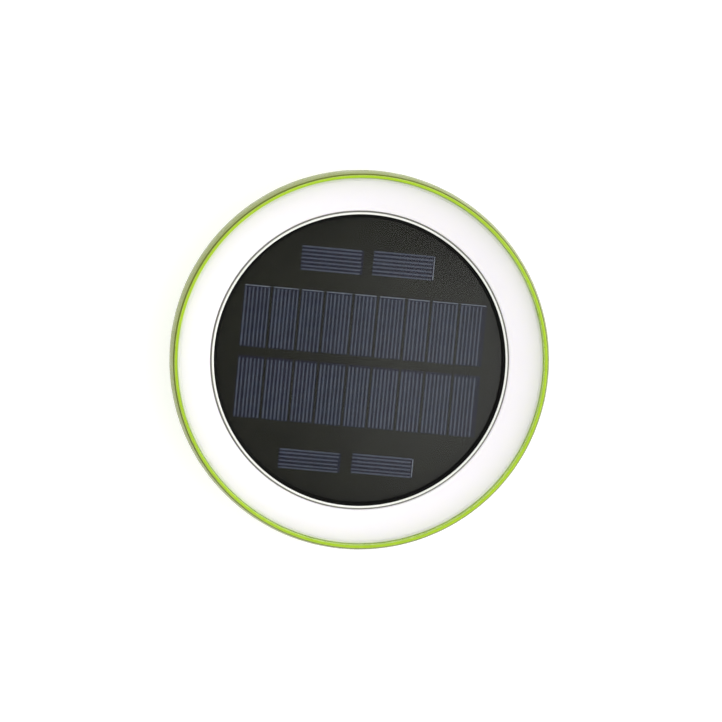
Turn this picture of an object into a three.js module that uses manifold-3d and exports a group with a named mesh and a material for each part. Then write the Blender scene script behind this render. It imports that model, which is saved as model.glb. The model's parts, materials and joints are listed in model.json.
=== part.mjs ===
// A floating solar pool light: a lime green bowl with a proud rim, a frosted
// white light ring set just inside it, and a round solar panel sunk in the
// middle. Millimetres, +Z up. The origin is on the ground under the middle of
// the foot, and X runs along the rows of solar cells.

import * as THREE from 'three';
import { mergeVertices } from 'three/addons/utils/BufferGeometryUtils.js';
import Module from 'manifold-3d';

const wasm = await Module();
wasm.setup();

// ---------------------------------------------------------------- dimensions

const RING_SIDES = 48; // sides of every large ring, so that neighbours nest
const SMALL_SIDES = 16; // sides of screws, posts and other small round parts
const EDGE = 0.3; // chamfer on moulded edges
const GAP = 0.3; // play between parts that don't press on each other
const LAP = 0.1; // how far joined shapes of one piece reach into each other
const CUT = 1; // how far a cutting shape reaches past the surface it cuts

// Bowl
const HULL_R = 95;
const EQUATOR_Z = 44;
const HULL_TOP_Z = 59.2;
const SHOULDER_R = 55;
const HULL_WALL = 2.4;
const MOUTH_R = 92.1;
const LEDGE_R = 90.9;
const LEDGE_BOTTOM_Z = 47;
const FOOT_OUTER_R = 56;
const FOOT_INNER_R = 51;
const FOOT_TOP_R = 56.5;
const FLOOR_R = 50.8;
const FLOOR_LIP_INNER_R = 49.5;
const FLOOR_LIP_OUTER_R = 54;
const FLOOR_LIP_HEIGHT = 1.6;
const FLOOR_Z = 4;
const FLOOR_TOP_Z = FLOOR_Z + HULL_WALL;

// Rim, a liner in the bowl's mouth that stands proud of the light ring
const RIM_TOP_Z = 60;
const RIM_INNER_R = 91.4;
const RIM_EDGE_R = 91.6;
const RIM_ROUND = 0.2;
const RIM_DRAFT_Z = 53.5;
const SHELF_R = 86.5;
const SHELF_TOP_Z = 50;
const SHELF_BOTTOM_Z = 48;

// Light ring and its seal
const SEAL_INNER_R = 90.5;
const SEAL_OUTER_R = 91.3;
const SEAL_TOP_Z = 53.3;
const DIFFUSER_OUTER_R = 90.2;
const DIFFUSER_INNER_R = 74.8;
const DIFFUSER_EDGE_Z = 53;
const DIFFUSER_FILLET = 2.5;
const DIFFUSER_FILLET_Z = 46.8;
const DIFFUSER_WALL = 2.2;
const DIFFUSER_CROWN = { r: 86.1, z: 52.5 };
const DIFFUSER_MIDDLE = { r: 81.7, z: 51.2 };

// Panel carrier: the white tub in the middle
const COLLAR_OUTER_R = 74;
const COLLAR_INNER_R = 73;
const COLLAR_TOP_Z = 48.3;
const FLANGE_R = 77.5;
const FLANGE_TOP_Z = 45.4;
const FLANGE_BOTTOM_Z = 43.8;
const CARRIER_SEAL_EDGE = 0.6;
const CARRIER_SEAL_CREST = 0.9;
const TUB_BOTTOM_Z = 38;
const TUB_FLOOR_Z = 40;
const CABLE_HOLE_R = 5;

// Solar panel
const BEZEL_OUTER_R = 72.9;
const BEZEL_INNER_R = 72;
const BEZEL_LIP_R = 71.3;
const BEZEL_LIP_Z = 44.1;
const BEZEL_LIP_TOP_Z = 44.9;
const BEZEL_TOP_Z = 47.9;
const PANEL_R = 71.8;
const BOARD_TOP_Z = 41.6;
const CELL_THICKNESS = 0.3;
const WINDOW_BOTTOM_Z = 42;
const WINDOW_TOP_Z = 44;
const CELL_LENGTH = 31.2;
const ROW_CELL_WIDTHS = [13.1, 13.1, 11.2, 13.1, 11.2, 13.1, 11.2, 13.1, 13.1];
const ROW_CELL_GAP = 1.2;
const ROWS_LEFT_X = -60.5;
const UPPER_ROW_Y = 17.1;
const LOWER_ROW_Y = -18.5;

// The four cells that lie across the rows, above and below them
const END_CELLS = [
  { name: 'solar_cell_top_left', x: -18.2, y: 48.4, width: 12.2 },
  { name: 'solar_cell_top_right', x: 17.7, y: 48.8, width: 12.2 },
  { name: 'solar_cell_bottom_left', x: -20.2, y: -52.6, width: 9.8 },
  { name: 'solar_cell_bottom_right', x: 16.4, y: -52, width: 9.8 },
];

// Light source
const REFLECTOR_OUTER_R = 87.8;
const REFLECTOR_INNER_R = 75;
const REFLECTOR_WALL = 1.2;
const REFLECTOR_BOTTOM_Z = 42;
const LED_BOARD_INNER_R = 78;
const LED_BOARD_OUTER_R = 84.5;
const LED_BOARD_TOP_Z = 44.2;
const LED_CIRCLE_R = 81.2;
const LED_COUNT = 6;
const LED_SIZE = 5;
const LED_HEIGHT = 1.6;

// Battery and its compartment, along X
const BATTERY_MIDDLE_Y = 9.5;
const BATTERY_MIDDLE_Z = 16.2;
const BATTERY_R = 9.15;
const BATTERY_LENGTH = 64.2;
const BATTERY_EDGE = 0.5;
const BATTERY_NUB = 1.2;
const BATTERY_NUB_R = 3;
const BAY_HALF_LENGTH = 36;
const BAY_HALF_WIDTH = 10.5;
const BAY_WALL = 1.6;
const BAY_TOP_Z = 28;
const CHASSIS_HALF_LENGTH = 40;
const CHASSIS_HALF_WIDTH = 19.6;
const CHASSIS_THICKNESS = 2;
const CHASSIS_BOSS_TOP_Z = 12;
const ARM_HALF_WIDTH = 3;
const CONTACT_SIZE = 12;
const CONTACT_THICKNESS = 0.5;
const SPRING = { turns: 2.5, steps: 24, widestR: 4.6, narrowestR: 2.6, length: 2.4, wireR: 0.4 };
const DIMPLE_HALF_WIDTH = 2;
const DIMPLE_DEPTH = 1.8;

// Battery cover, its seal and its screws
const COVER_HALF_LENGTH = 41;
const COVER_HALF_WIDTH = 19;
const COVER_CORNER = 6;
const COVER_BOTTOM_Z = 1.2;
const COVER_TOP_Z = 3.9;
const SEAL_GROOVE_Z = 2.7;
const SEAL_GROOVE_MARGIN = 0.4;
const SEAL_GROOVE_WIDTH = 2;
const SEAL_PLAY = 0.2;
const COVER_SCREW_X = 36;
const COVER_SCREW_Y = 15.5;
const SCREW_R = 1.35;
const SCREW_HEAD_R = 2.6;
const SCREW_HEAD_ROUND = 0.4;
const SCREW_HEAD_HEIGHT = 1.4;
const SCREW_HEAD_THICKNESS = 1.3;
const SCREW_POINT = 0.8;
const SCREW_LIFT = 0.1;
const SCREW_WASHER_GAP = 0.2;
const SCREW_LENGTH = 8;
const SLOT_HALF_LENGTH = 1.5;
const SLOT_HALF_WIDTH = 0.3;
const SLOT_DEPTH = 0.7;
const PILOT_R = 1.6;

// Circuit board beside the battery
const MAIN_BOARD = { x: -20, y: -26, length: 44, width: 24, bottomZ: 17, topZ: 18.6 };
const BOARD_POST_X = 18;
const BOARD_POST_Y = 8;
const POST_R = 3;
const SWITCH_SIZE = 6;
const SWITCH_HEIGHT = 3;
const PLUNGER_R = 1.7;
const PLUNGER_LENGTH = 0.8;
const CONTROLLER = { half: 4, height: 1.4 };
const COIL = { dx: -11, dy: 4, radius: 4, height: 4.5 };
const CAPACITOR = { dx: 12, dy: -5, radius: 3, height: 7 };

// Push button in the floor
const BUTTON_X = -24;
const BUTTON_Y = -27;
const BUTTON_R = 5.6;
const BUTTON_HOLE_R = 6;
const BUTTON_BOTTOM_Z = 1.8;
const BUTTON_EDGE = 0.8;
const BUTTON_FLANGE_R = 7.5;
const BUTTON_FLANGE_Z = 6.7;
const BUTTON_FLANGE_THICKNESS = 1;
const STEM_R = 2.2;
const STEM_TOP_Z = 11;
const BOOT_R = 11;
const BOOT_INNER_R = 8.4;
const BOOT_WALL = 0.8;
const BOOT_FOOT_THICKNESS = 1;
const BOOT_SHOULDER_R = 6;
const BOOT_TOP_R = 3.6;
const BOOT_TOP_Z = 12;
const BOOT_ROUND = 1.2;

// Hanging ring, folded flat under the floor
const RING_X = 17;
const RING_HINGE_Y = -17;
const RING_Z = 2.2;
const RING_WIRE_R = 1.2;
const RING_HALF_WIDTH = 9;
const RING_REACH = 20;
const RING_BEND = 1.8;
const RING_BEND_WIDTH = 1.6;
const RING_LEG_Y = -6;
const RING_ARC_STEPS = 6;
const LUG_WIDTH = 2.8;
const LUG_HALF_DEPTH = 2.6;
const LUG_BOTTOM_Z = 0.4;
const LUG_GAP = 1.6;
const LUG_HOLE_R = 1.6;

// Cables and wires inside
const CABLE_R = 1.2;
const LED_CABLE_R = 1.1;
const LEAD_R = 0.7;
const LEAD_END_GAP = 0.9;

// ------------------------------------------------------------------ materials

const finish = (color, roughness, metalness = 0, opacity = 1) => new THREE.MeshStandardMaterial({
  color,
  roughness,
  metalness,
  opacity,
  transparent: opacity < 1,
});

const LIME = finish(0xb2d63f, 0.35);
const OLIVE_LIME = finish(0x96a84a, 0.3);
const WHITE_SILICONE = finish(0xf2f2ea, 0.6);
const FROSTED = finish(0xf7f7f4, 0.5);
const WHITE_PLASTIC = finish(0xf4f4ec, 0.4);
const BLACK_PLASTIC = finish(0x2c2d29, 0.45);
const BLACK_RUBBER = finish(0x1c1c1a, 0.8);
const GREY_RUBBER = finish(0x9a9b90, 0.7);
const CLEAR = finish(0xe8f0f4, 0.08, 0, 0.25);
const BLACK_BOARD = finish(0x25261f, 0.5);
const CELL_BLUE = finish(0x2c3350, 0.3);
const GREEN_BOARD = finish(0x1d6b3a, 0.5);
const LED_YELLOW = finish(0xf3e27a, 0.4);
const STEEL = finish(0xb9bcc0, 0.3, 1);
const BATTERY_WRAP = finish(0x3f7fb8, 0.35);
const RED_WIRE = finish(0xb5261f, 0.5);
const BLACK_WIRE = finish(0x1a1a1a, 0.5);
const GREY_CABLE = finish(0x8a8d90, 0.5);

// -------------------------------------------------------------- solid helpers

// A closed three.js geometry as a solid that can be cut and joined.
function solid(geometry) {
  const bare = geometry.clone();
  bare.deleteAttribute('normal');
  bare.deleteAttribute('uv');
  const merged = mergeVertices(bare, 1e-4);
  const index = merged.index.array;
  const triangles = [];
  for (let i = 0; i < index.length; i += 3) {
    const [a, b, c] = [index[i], index[i + 1], index[i + 2]];
    if (a !== b && b !== c && c !== a) {
      triangles.push(a, b, c);
    }
  }
  const mesh = new wasm.Mesh({
    numProp: 3,
    vertProperties: new Float32Array(merged.attributes.position.array),
    triVerts: new Uint32Array(triangles),
  });
  return new wasm.Manifold(mesh);
}

function geometryOf(manifold) {
  const mesh = manifold.getMesh();
  const geometry = new THREE.BufferGeometry();
  geometry.setAttribute('position', new THREE.BufferAttribute(mesh.vertProperties, 3));
  geometry.setIndex(new THREE.BufferAttribute(mesh.triVerts, 1));
  geometry.computeVertexNormals();
  return geometry;
}

// A closed outline of [radius, height] points turned about Z.
function turned(outline, sides = RING_SIDES) {
  const points = outline.map(([radius, height]) => new THREE.Vector2(radius, height));
  if (THREE.ShapeUtils.area(points) < 0) {
    points.reverse();
  }
  points.push(points[0].clone());
  const geometry = new THREE.LatheGeometry(points, sides);
  geometry.rotateX(Math.PI / 2);
  return solid(geometry);
}

// Points along an elliptical arc; angles in degrees, measured from +radius towards +height.
function arc(middleR, middleZ, radiusR, radiusZ, from, to, steps) {
  const points = [];
  for (let i = 0; i <= steps; i += 1) {
    const angle = THREE.MathUtils.degToRad(from + (to - from) * (i / steps));
    points.push([middleR + radiusR * Math.cos(angle), middleZ + radiusZ * Math.sin(angle)]);
  }
  return points;
}

function block(lowX, highX, lowY, highY, lowZ, highZ) {
  const geometry = new THREE.BoxGeometry(highX - lowX, highY - lowY, highZ - lowZ);
  geometry.translate((lowX + highX) / 2, (lowY + highY) / 2, (lowZ + highZ) / 2);
  return solid(geometry);
}

// An upright round bar.
function bar(x, y, radius, lowZ, highZ, sides = SMALL_SIDES) {
  const geometry = new THREE.CylinderGeometry(radius, radius, highZ - lowZ, sides);
  geometry.rotateX(Math.PI / 2);
  geometry.translate(x, y, (lowZ + highZ) / 2);
  return solid(geometry);
}

// A slab with round corners, its middle at (x, y).
function roundedSlab(x, y, halfLength, halfWidth, corner, lowZ, highZ) {
  const shape = new THREE.Shape();
  shape.moveTo(-halfLength + corner, -halfWidth);
  shape.lineTo(halfLength - corner, -halfWidth);
  shape.absarc(halfLength - corner, -halfWidth + corner, corner, -Math.PI / 2, 0, false);
  shape.lineTo(halfLength, halfWidth - corner);
  shape.absarc(halfLength - corner, halfWidth - corner, corner, 0, Math.PI / 2, false);
  shape.lineTo(-halfLength + corner, halfWidth);
  shape.absarc(-halfLength + corner, halfWidth - corner, corner, Math.PI / 2, Math.PI, false);
  shape.lineTo(-halfLength, -halfWidth + corner);
  shape.absarc(-halfLength + corner, -halfWidth + corner, corner, Math.PI, Math.PI * 1.5, false);
  const geometry = new THREE.ExtrudeGeometry(shape, {
    depth: highZ - lowZ,
    bevelEnabled: false,
    curveSegments: 4,
  });
  geometry.translate(x, y, lowZ);
  return solid(geometry);
}

// A round wire along a smooth curve through the given points.
function wire(points, radius, sides, steps) {
  const section = new THREE.Shape();
  section.absarc(0, 0, radius, 0, Math.PI * 2, false);
  const curve = new THREE.CatmullRomCurve3(points.map(([x, y, z]) => new THREE.Vector3(x, y, z)));
  return solid(new THREE.ExtrudeGeometry(section, {
    steps,
    curveSegments: sides / 2,
    bevelEnabled: false,
    extrudePath: curve,
  }));
}

const light = new THREE.Group();

function add(name, shape, material, parent = light) {
  const mesh = new THREE.Mesh(geometryOf(shape), material.clone());
  mesh.name = name;
  parent.add(mesh);
  return mesh;
}

// ---------------------------------------------------------------- outer shell

function addHull() {
  const bowlWidth = HULL_R - FOOT_OUTER_R;
  const shoulderTopZ = HULL_TOP_Z - EDGE;
  const shoulderAngle = THREE.MathUtils.radToDeg(Math.asin((shoulderTopZ - EQUATOR_Z) / SHOULDER_R));
  const outerBowl = arc(FOOT_OUTER_R, EQUATOR_Z, bowlWidth, EQUATOR_Z, -90, 0, 8);
  const shoulder = arc(HULL_R - SHOULDER_R, EQUATOR_Z, SHOULDER_R, SHOULDER_R, 0, shoulderAngle, 3);
  const innerBowl = arc(
    FOOT_OUTER_R,
    EQUATOR_Z,
    bowlWidth - HULL_WALL,
    EQUATOR_Z - HULL_WALL,
    -4,
    -86,
    6,
  );
  add('lower_hull', turned([
    [FOOT_INNER_R, 0],
    ...outerBowl,
    ...shoulder.slice(1),
    [shoulder.at(-1)[0] - EDGE, HULL_TOP_Z],
    [MOUTH_R, HULL_TOP_Z],
    [MOUTH_R, SHELF_BOTTOM_Z],
    [LEDGE_R, SHELF_BOTTOM_Z],
    [LEDGE_R, LEDGE_BOTTOM_Z],
    ...innerBowl,
    [FOOT_TOP_R, FLOOR_TOP_Z],
    [FOOT_INNER_R, FLOOR_TOP_Z],
  ]), OLIVE_LIME);
}

function coverScrewPlaces() {
  const places = [];
  for (const sideY of [-1, 1]) {
    for (const sideX of [-1, 1]) {
      places.push([sideX * COVER_SCREW_X, BATTERY_MIDDLE_Y + sideY * COVER_SCREW_Y]);
    }
  }
  return places;
}

function boardPostPlaces() {
  return [
    [MAIN_BOARD.x - BOARD_POST_X, MAIN_BOARD.y + BOARD_POST_Y],
    [MAIN_BOARD.x + BOARD_POST_X, MAIN_BOARD.y - BOARD_POST_Y],
  ];
}

// The two lugs under the floor that hold the ends of the hanging ring.
function ringLugs() {
  const inner = RING_HALF_WIDTH + RING_WIRE_R + LUG_GAP / 2;
  const outer = inner + LUG_WIDTH;
  const lowY = RING_HINGE_Y - LUG_HALF_DEPTH;
  const highY = RING_HINGE_Y + LUG_HALF_DEPTH;
  const left = block(RING_X - outer, RING_X - inner, lowY, highY, LUG_BOTTOM_Z, FLOOR_Z + LAP);
  const right = block(RING_X + inner, RING_X + outer, lowY, highY, LUG_BOTTOM_Z, FLOOR_Z + LAP);
  const hole = new THREE.CylinderGeometry(LUG_HOLE_R, LUG_HOLE_R, 4 * outer, 12);
  hole.rotateZ(Math.PI / 2);
  hole.translate(RING_X, RING_HINGE_Y, RING_Z);
  return left.add(right).subtract(solid(hole));
}

// The floor plate, its lip welded on the bowl's foot from inside.
function addFloor() {
  const lipTopZ = FLOOR_TOP_Z + FLOOR_LIP_HEIGHT;
  let floor = turned([
    [0, FLOOR_Z],
    [FLOOR_R, FLOOR_Z],
    [FLOOR_R, FLOOR_TOP_Z],
    [FLOOR_LIP_OUTER_R, FLOOR_TOP_Z],
    [FLOOR_LIP_OUTER_R, lipTopZ],
    [FLOOR_LIP_INNER_R, lipTopZ],
    [FLOOR_LIP_INNER_R, FLOOR_TOP_Z],
    [0, FLOOR_TOP_Z],
  ]);
  floor = floor.subtract(block(-BAY_HALF_LENGTH, BAY_HALF_LENGTH,
    BATTERY_MIDDLE_Y - BAY_HALF_WIDTH, BATTERY_MIDDLE_Y + BAY_HALF_WIDTH,
    FLOOR_Z - CUT, FLOOR_TOP_Z + CUT));
  floor = floor.subtract(bar(BUTTON_X, BUTTON_Y, BUTTON_HOLE_R, FLOOR_Z - CUT, FLOOR_TOP_Z + CUT, 24));
  for (const [x, y] of coverScrewPlaces()) {
    floor = floor.subtract(bar(x, y, PILOT_R, FLOOR_Z - CUT, FLOOR_TOP_Z + CUT));
  }
  add('hull_floor', floor.add(ringLugs()), OLIVE_LIME);
}

function addRim() {
  add('upper_rim', turned([
    [SHELF_R, SHELF_BOTTOM_Z],
    [MOUTH_R, SHELF_BOTTOM_Z],
    [MOUTH_R, RIM_TOP_Z - RIM_ROUND],
    [MOUTH_R - RIM_ROUND, RIM_TOP_Z],
    [RIM_EDGE_R + RIM_ROUND, RIM_TOP_Z],
    [RIM_EDGE_R, RIM_TOP_Z - RIM_ROUND],
    [RIM_INNER_R, RIM_DRAFT_Z],
    [RIM_INNER_R, SHELF_TOP_Z],
    [SHELF_R, SHELF_TOP_Z],
  ]), LIME);
}

function addRimSeal() {
  const middle = (SEAL_INNER_R + SEAL_OUTER_R) / 2;
  add('rim_seal', turned([
    [SEAL_INNER_R, SHELF_TOP_Z],
    [SEAL_OUTER_R, SHELF_TOP_Z],
    [SEAL_OUTER_R, SEAL_TOP_Z - EDGE],
    [middle, SEAL_TOP_Z],
    [SEAL_INNER_R, SEAL_TOP_Z - EDGE],
  ]), WHITE_SILICONE);
}

// The light ring dips from its outer edge to its rounded inner edge, with a slightly full top.
function addDiffuser() {
  const filletMiddleR = DIFFUSER_INNER_R + DIFFUSER_FILLET;
  const filletTopZ = DIFFUSER_FILLET_Z + DIFFUSER_FILLET;
  add('diffuser_ring', turned([
    [SHELF_R - GAP, SHELF_TOP_Z],
    [DIFFUSER_OUTER_R, SHELF_TOP_Z],
    [DIFFUSER_OUTER_R, DIFFUSER_EDGE_Z - EDGE],
    [DIFFUSER_OUTER_R - EDGE, DIFFUSER_EDGE_Z],
    [DIFFUSER_CROWN.r, DIFFUSER_CROWN.z],
    [DIFFUSER_MIDDLE.r, DIFFUSER_MIDDLE.z],
    ...arc(filletMiddleR, DIFFUSER_FILLET_Z, DIFFUSER_FILLET, DIFFUSER_FILLET, 100, 180, 3),
    [DIFFUSER_INNER_R, FLANGE_TOP_Z],
    [filletMiddleR, FLANGE_TOP_Z],
    [filletMiddleR, filletTopZ - DIFFUSER_WALL],
    [DIFFUSER_MIDDLE.r, DIFFUSER_MIDDLE.z - DIFFUSER_WALL],
  ]), FROSTED);
}

// ----------------------------------------------------------------- solar panel

function addCarrier() {
  add('panel_carrier', turned([
    [CABLE_HOLE_R, TUB_BOTTOM_Z],
    [COLLAR_OUTER_R, TUB_BOTTOM_Z],
    [COLLAR_OUTER_R, FLANGE_BOTTOM_Z],
    [FLANGE_R, FLANGE_BOTTOM_Z],
    [FLANGE_R, FLANGE_TOP_Z],
    [COLLAR_OUTER_R, FLANGE_TOP_Z],
    [COLLAR_OUTER_R, COLLAR_TOP_Z - EDGE],
    [COLLAR_OUTER_R - EDGE, COLLAR_TOP_Z],
    [COLLAR_INNER_R, COLLAR_TOP_Z],
    [COLLAR_INNER_R, TUB_FLOOR_Z],
    [CABLE_HOLE_R, TUB_FLOOR_Z],
  ]), WHITE_PLASTIC);
}

function addCarrierSeal() {
  const middle = (COLLAR_OUTER_R + DIFFUSER_INNER_R) / 2;
  add('carrier_seal', turned([
    [COLLAR_OUTER_R, FLANGE_TOP_Z],
    [DIFFUSER_INNER_R, FLANGE_TOP_Z],
    [DIFFUSER_INNER_R, FLANGE_TOP_Z + CARRIER_SEAL_EDGE],
    [middle, FLANGE_TOP_Z + CARRIER_SEAL_CREST],
    [COLLAR_OUTER_R, FLANGE_TOP_Z + CARRIER_SEAL_EDGE],
  ]), GREY_RUBBER);
}

function addPanel() {
  add('panel_bezel', turned([
    [BEZEL_INNER_R, TUB_FLOOR_Z],
    [BEZEL_OUTER_R, TUB_FLOOR_Z],
    [BEZEL_OUTER_R, BEZEL_TOP_Z],
    [BEZEL_INNER_R, BEZEL_TOP_Z],
    [BEZEL_INNER_R, BEZEL_LIP_TOP_Z],
    [BEZEL_LIP_R, BEZEL_LIP_TOP_Z],
    [BEZEL_LIP_R, BEZEL_LIP_Z],
    [BEZEL_INNER_R, BEZEL_LIP_Z],
  ]), BLACK_PLASTIC);
  add('panel_board', turned([
    [0, TUB_FLOOR_Z],
    [PANEL_R, TUB_FLOOR_Z],
    [PANEL_R, BOARD_TOP_Z],
    [0, BOARD_TOP_Z],
  ]), BLACK_BOARD);
  add('panel_window', turned([
    [0, WINDOW_BOTTOM_Z],
    [PANEL_R, WINDOW_BOTTOM_Z],
    [PANEL_R, WINDOW_TOP_Z - EDGE],
    [PANEL_R - EDGE, WINDOW_TOP_Z],
    [0, WINDOW_TOP_Z],
  ]), CLEAR);
}

function addCell(name, x, y, sizeX, sizeY) {
  const shape = block(-sizeX / 2, sizeX / 2, -sizeY / 2, sizeY / 2, 0, CELL_THICKNESS);
  const cell = add(name, shape, CELL_BLUE);
  cell.position.set(x, y, BOARD_TOP_Z);
}

function addCells() {
  let leftX = ROWS_LEFT_X;
  ROW_CELL_WIDTHS.forEach((width, i) => {
    const x = leftX + width / 2;
    addCell(`solar_cell_upper_${i + 1}`, x, UPPER_ROW_Y, width, CELL_LENGTH);
    addCell(`solar_cell_lower_${i + 1}`, x, LOWER_ROW_Y, width, CELL_LENGTH);
    leftX += width + ROW_CELL_GAP;
  });
  for (const { name, x, y, width } of END_CELLS) {
    addCell(name, x, y, CELL_LENGTH, width);
  }
}

// ----------------------------------------------------------------- light source

function addReflector() {
  const floorZ = REFLECTOR_BOTTOM_Z + REFLECTOR_WALL;
  add('reflector_ring', turned([
    [REFLECTOR_INNER_R, REFLECTOR_BOTTOM_Z],
    [REFLECTOR_OUTER_R, REFLECTOR_BOTTOM_Z],
    [REFLECTOR_OUTER_R, SHELF_BOTTOM_Z],
    [REFLECTOR_OUTER_R - REFLECTOR_WALL, SHELF_BOTTOM_Z],
    [REFLECTOR_OUTER_R - REFLECTOR_WALL, floorZ],
    [REFLECTOR_INNER_R + REFLECTOR_WALL, floorZ],
    [REFLECTOR_INNER_R + REFLECTOR_WALL, FLANGE_BOTTOM_Z],
    [REFLECTOR_INNER_R, FLANGE_BOTTOM_Z],
  ]), WHITE_PLASTIC);
  add('led_board', turned([
    [LED_BOARD_INNER_R, floorZ],
    [LED_BOARD_OUTER_R, floorZ],
    [LED_BOARD_OUTER_R, LED_BOARD_TOP_Z],
    [LED_BOARD_INNER_R, LED_BOARD_TOP_Z],
  ]), GREEN_BOARD);
}

function addLeds() {
  const half = LED_SIZE / 2;
  for (let i = 0; i < LED_COUNT; i += 1) {
    const angle = (i * Math.PI * 2) / LED_COUNT;
    const led = add(`led_${i + 1}`, block(-half, half, -half, half, 0, LED_HEIGHT), LED_YELLOW);
    const x = LED_CIRCLE_R * Math.cos(angle);
    const y = LED_CIRCLE_R * Math.sin(angle);
    led.position.set(x, y, LED_BOARD_TOP_Z + GAP);
    led.rotation.z = angle;
  }
}

// --------------------------------------------------------------------- battery

// The battery's box, on a flange with bosses for the cover's screws and two arms for the board's posts.
function addBatteryBay() {
  const outerLength = BAY_HALF_LENGTH + BAY_WALL;
  const outerWidth = BAY_HALF_WIDTH + BAY_WALL;
  const flangeTopZ = FLOOR_TOP_Z + CHASSIS_THICKNESS;
  let box = block(-outerLength, outerLength, BATTERY_MIDDLE_Y - outerWidth,
    BATTERY_MIDDLE_Y + outerWidth, FLOOR_TOP_Z, BAY_TOP_Z);
  box = box.add(roundedSlab(0, BATTERY_MIDDLE_Y, CHASSIS_HALF_LENGTH, CHASSIS_HALF_WIDTH,
    COVER_CORNER, FLOOR_TOP_Z, flangeTopZ));
  for (const [x, y] of coverScrewPlaces()) {
    box = box.add(bar(x, y, POST_R, FLOOR_TOP_Z, CHASSIS_BOSS_TOP_Z));
  }
  for (const [x, y] of boardPostPlaces()) {
    box = box.add(block(x - ARM_HALF_WIDTH, x + ARM_HALF_WIDTH, y, BATTERY_MIDDLE_Y - outerWidth,
      FLOOR_TOP_Z, flangeTopZ));
    box = box.add(bar(x, y, POST_R, FLOOR_TOP_Z, MAIN_BOARD.bottomZ));
    box = box.subtract(bar(x, y, PILOT_R, MAIN_BOARD.bottomZ - SCREW_LENGTH, MAIN_BOARD.bottomZ + CUT));
  }
  box = box.subtract(block(-BAY_HALF_LENGTH, BAY_HALF_LENGTH, BATTERY_MIDDLE_Y - BAY_HALF_WIDTH,
    BATTERY_MIDDLE_Y + BAY_HALF_WIDTH, FLOOR_TOP_Z - CUT, BAY_TOP_Z - BAY_WALL));
  for (const [x, y] of coverScrewPlaces()) {
    box = box.subtract(bar(x, y, PILOT_R, FLOOR_TOP_Z - CUT, CHASSIS_BOSS_TOP_Z - 1));
  }
  add('battery_box', box, BLACK_PLASTIC);
}

function addBattery() {
  const half = BATTERY_LENGTH / 2;
  const cell = add('battery_cell', turned([
    [0, -half],
    [BATTERY_R - BATTERY_EDGE, -half],
    [BATTERY_R, -half + BATTERY_EDGE],
    [BATTERY_R, half - BATTERY_EDGE],
    [BATTERY_R - BATTERY_EDGE, half],
    [BATTERY_NUB_R, half],
    [BATTERY_NUB_R, half + BATTERY_NUB],
    [0, half + BATTERY_NUB],
  ], 24), BATTERY_WRAP);
  cell.rotation.y = Math.PI / 2;
  cell.position.set(0, BATTERY_MIDDLE_Y, BATTERY_MIDDLE_Z);
}

// A conical coil on a plate, pressing on the flat end of the battery.
function addBatterySpring() {
  const { turns, steps, widestR, narrowestR, length, wireR } = SPRING;
  const points = [];
  for (let i = 0; i <= steps; i += 1) {
    const along = i / steps;
    const angle = along * turns * Math.PI * 2;
    const radius = THREE.MathUtils.lerp(widestR, narrowestR, along);
    points.push([along * length, radius * Math.cos(angle), radius * Math.sin(angle)]);
  }
  const half = CONTACT_SIZE / 2;
  const plate = block(-CONTACT_THICKNESS, 0, -half, half, -half, half);
  const spring = add('battery_spring', plate.add(wire(points, wireR, 6, steps)), STEEL);
  spring.position.set(-BAY_HALF_LENGTH + CONTACT_THICKNESS, BATTERY_MIDDLE_Y, BATTERY_MIDDLE_Z);
}

function addBatteryPlate() {
  const half = CONTACT_SIZE / 2;
  const dimple = block(-DIMPLE_DEPTH, LAP, -DIMPLE_HALF_WIDTH, DIMPLE_HALF_WIDTH,
    -DIMPLE_HALF_WIDTH, DIMPLE_HALF_WIDTH);
  const plate = block(0, CONTACT_THICKNESS, -half, half, -half, half).add(dimple);
  const contact = add('battery_plate', plate, STEEL);
  contact.position.set(BAY_HALF_LENGTH - CONTACT_THICKNESS, BATTERY_MIDDLE_Y, BATTERY_MIDDLE_Z);
}

function sealLoop(inset, lowZ, highZ) {
  const innerMargin = SEAL_GROOVE_MARGIN + inset;
  const outerMargin = SEAL_GROOVE_MARGIN + SEAL_GROOVE_WIDTH - inset;
  const outer = roundedSlab(0, BATTERY_MIDDLE_Y, BAY_HALF_LENGTH + outerMargin,
    BAY_HALF_WIDTH + outerMargin, 2, lowZ, highZ);
  const inner = roundedSlab(0, BATTERY_MIDDLE_Y, BAY_HALF_LENGTH + innerMargin,
    BAY_HALF_WIDTH + innerMargin, 1, lowZ - CUT, highZ + CUT);
  return outer.subtract(inner);
}

function addBatteryCover() {
  let cover = roundedSlab(0, BATTERY_MIDDLE_Y, COVER_HALF_LENGTH, COVER_HALF_WIDTH, COVER_CORNER,
    COVER_BOTTOM_Z, COVER_TOP_Z);
  cover = cover.subtract(sealLoop(0, SEAL_GROOVE_Z, COVER_TOP_Z + CUT));
  const headSeatZ = COVER_BOTTOM_Z + SCREW_HEAD_HEIGHT;
  for (const [x, y] of coverScrewPlaces()) {
    cover = cover.subtract(bar(x, y, SCREW_HEAD_R + GAP, COVER_BOTTOM_Z - CUT, headSeatZ));
    cover = cover.subtract(bar(x, y, PILOT_R, COVER_BOTTOM_Z, COVER_TOP_Z + CUT));
  }
  add('battery_cover', cover, OLIVE_LIME);
  add('cover_seal', sealLoop(SEAL_PLAY, SEAL_GROOVE_Z, FLOOR_Z), BLACK_RUBBER);
}

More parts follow.
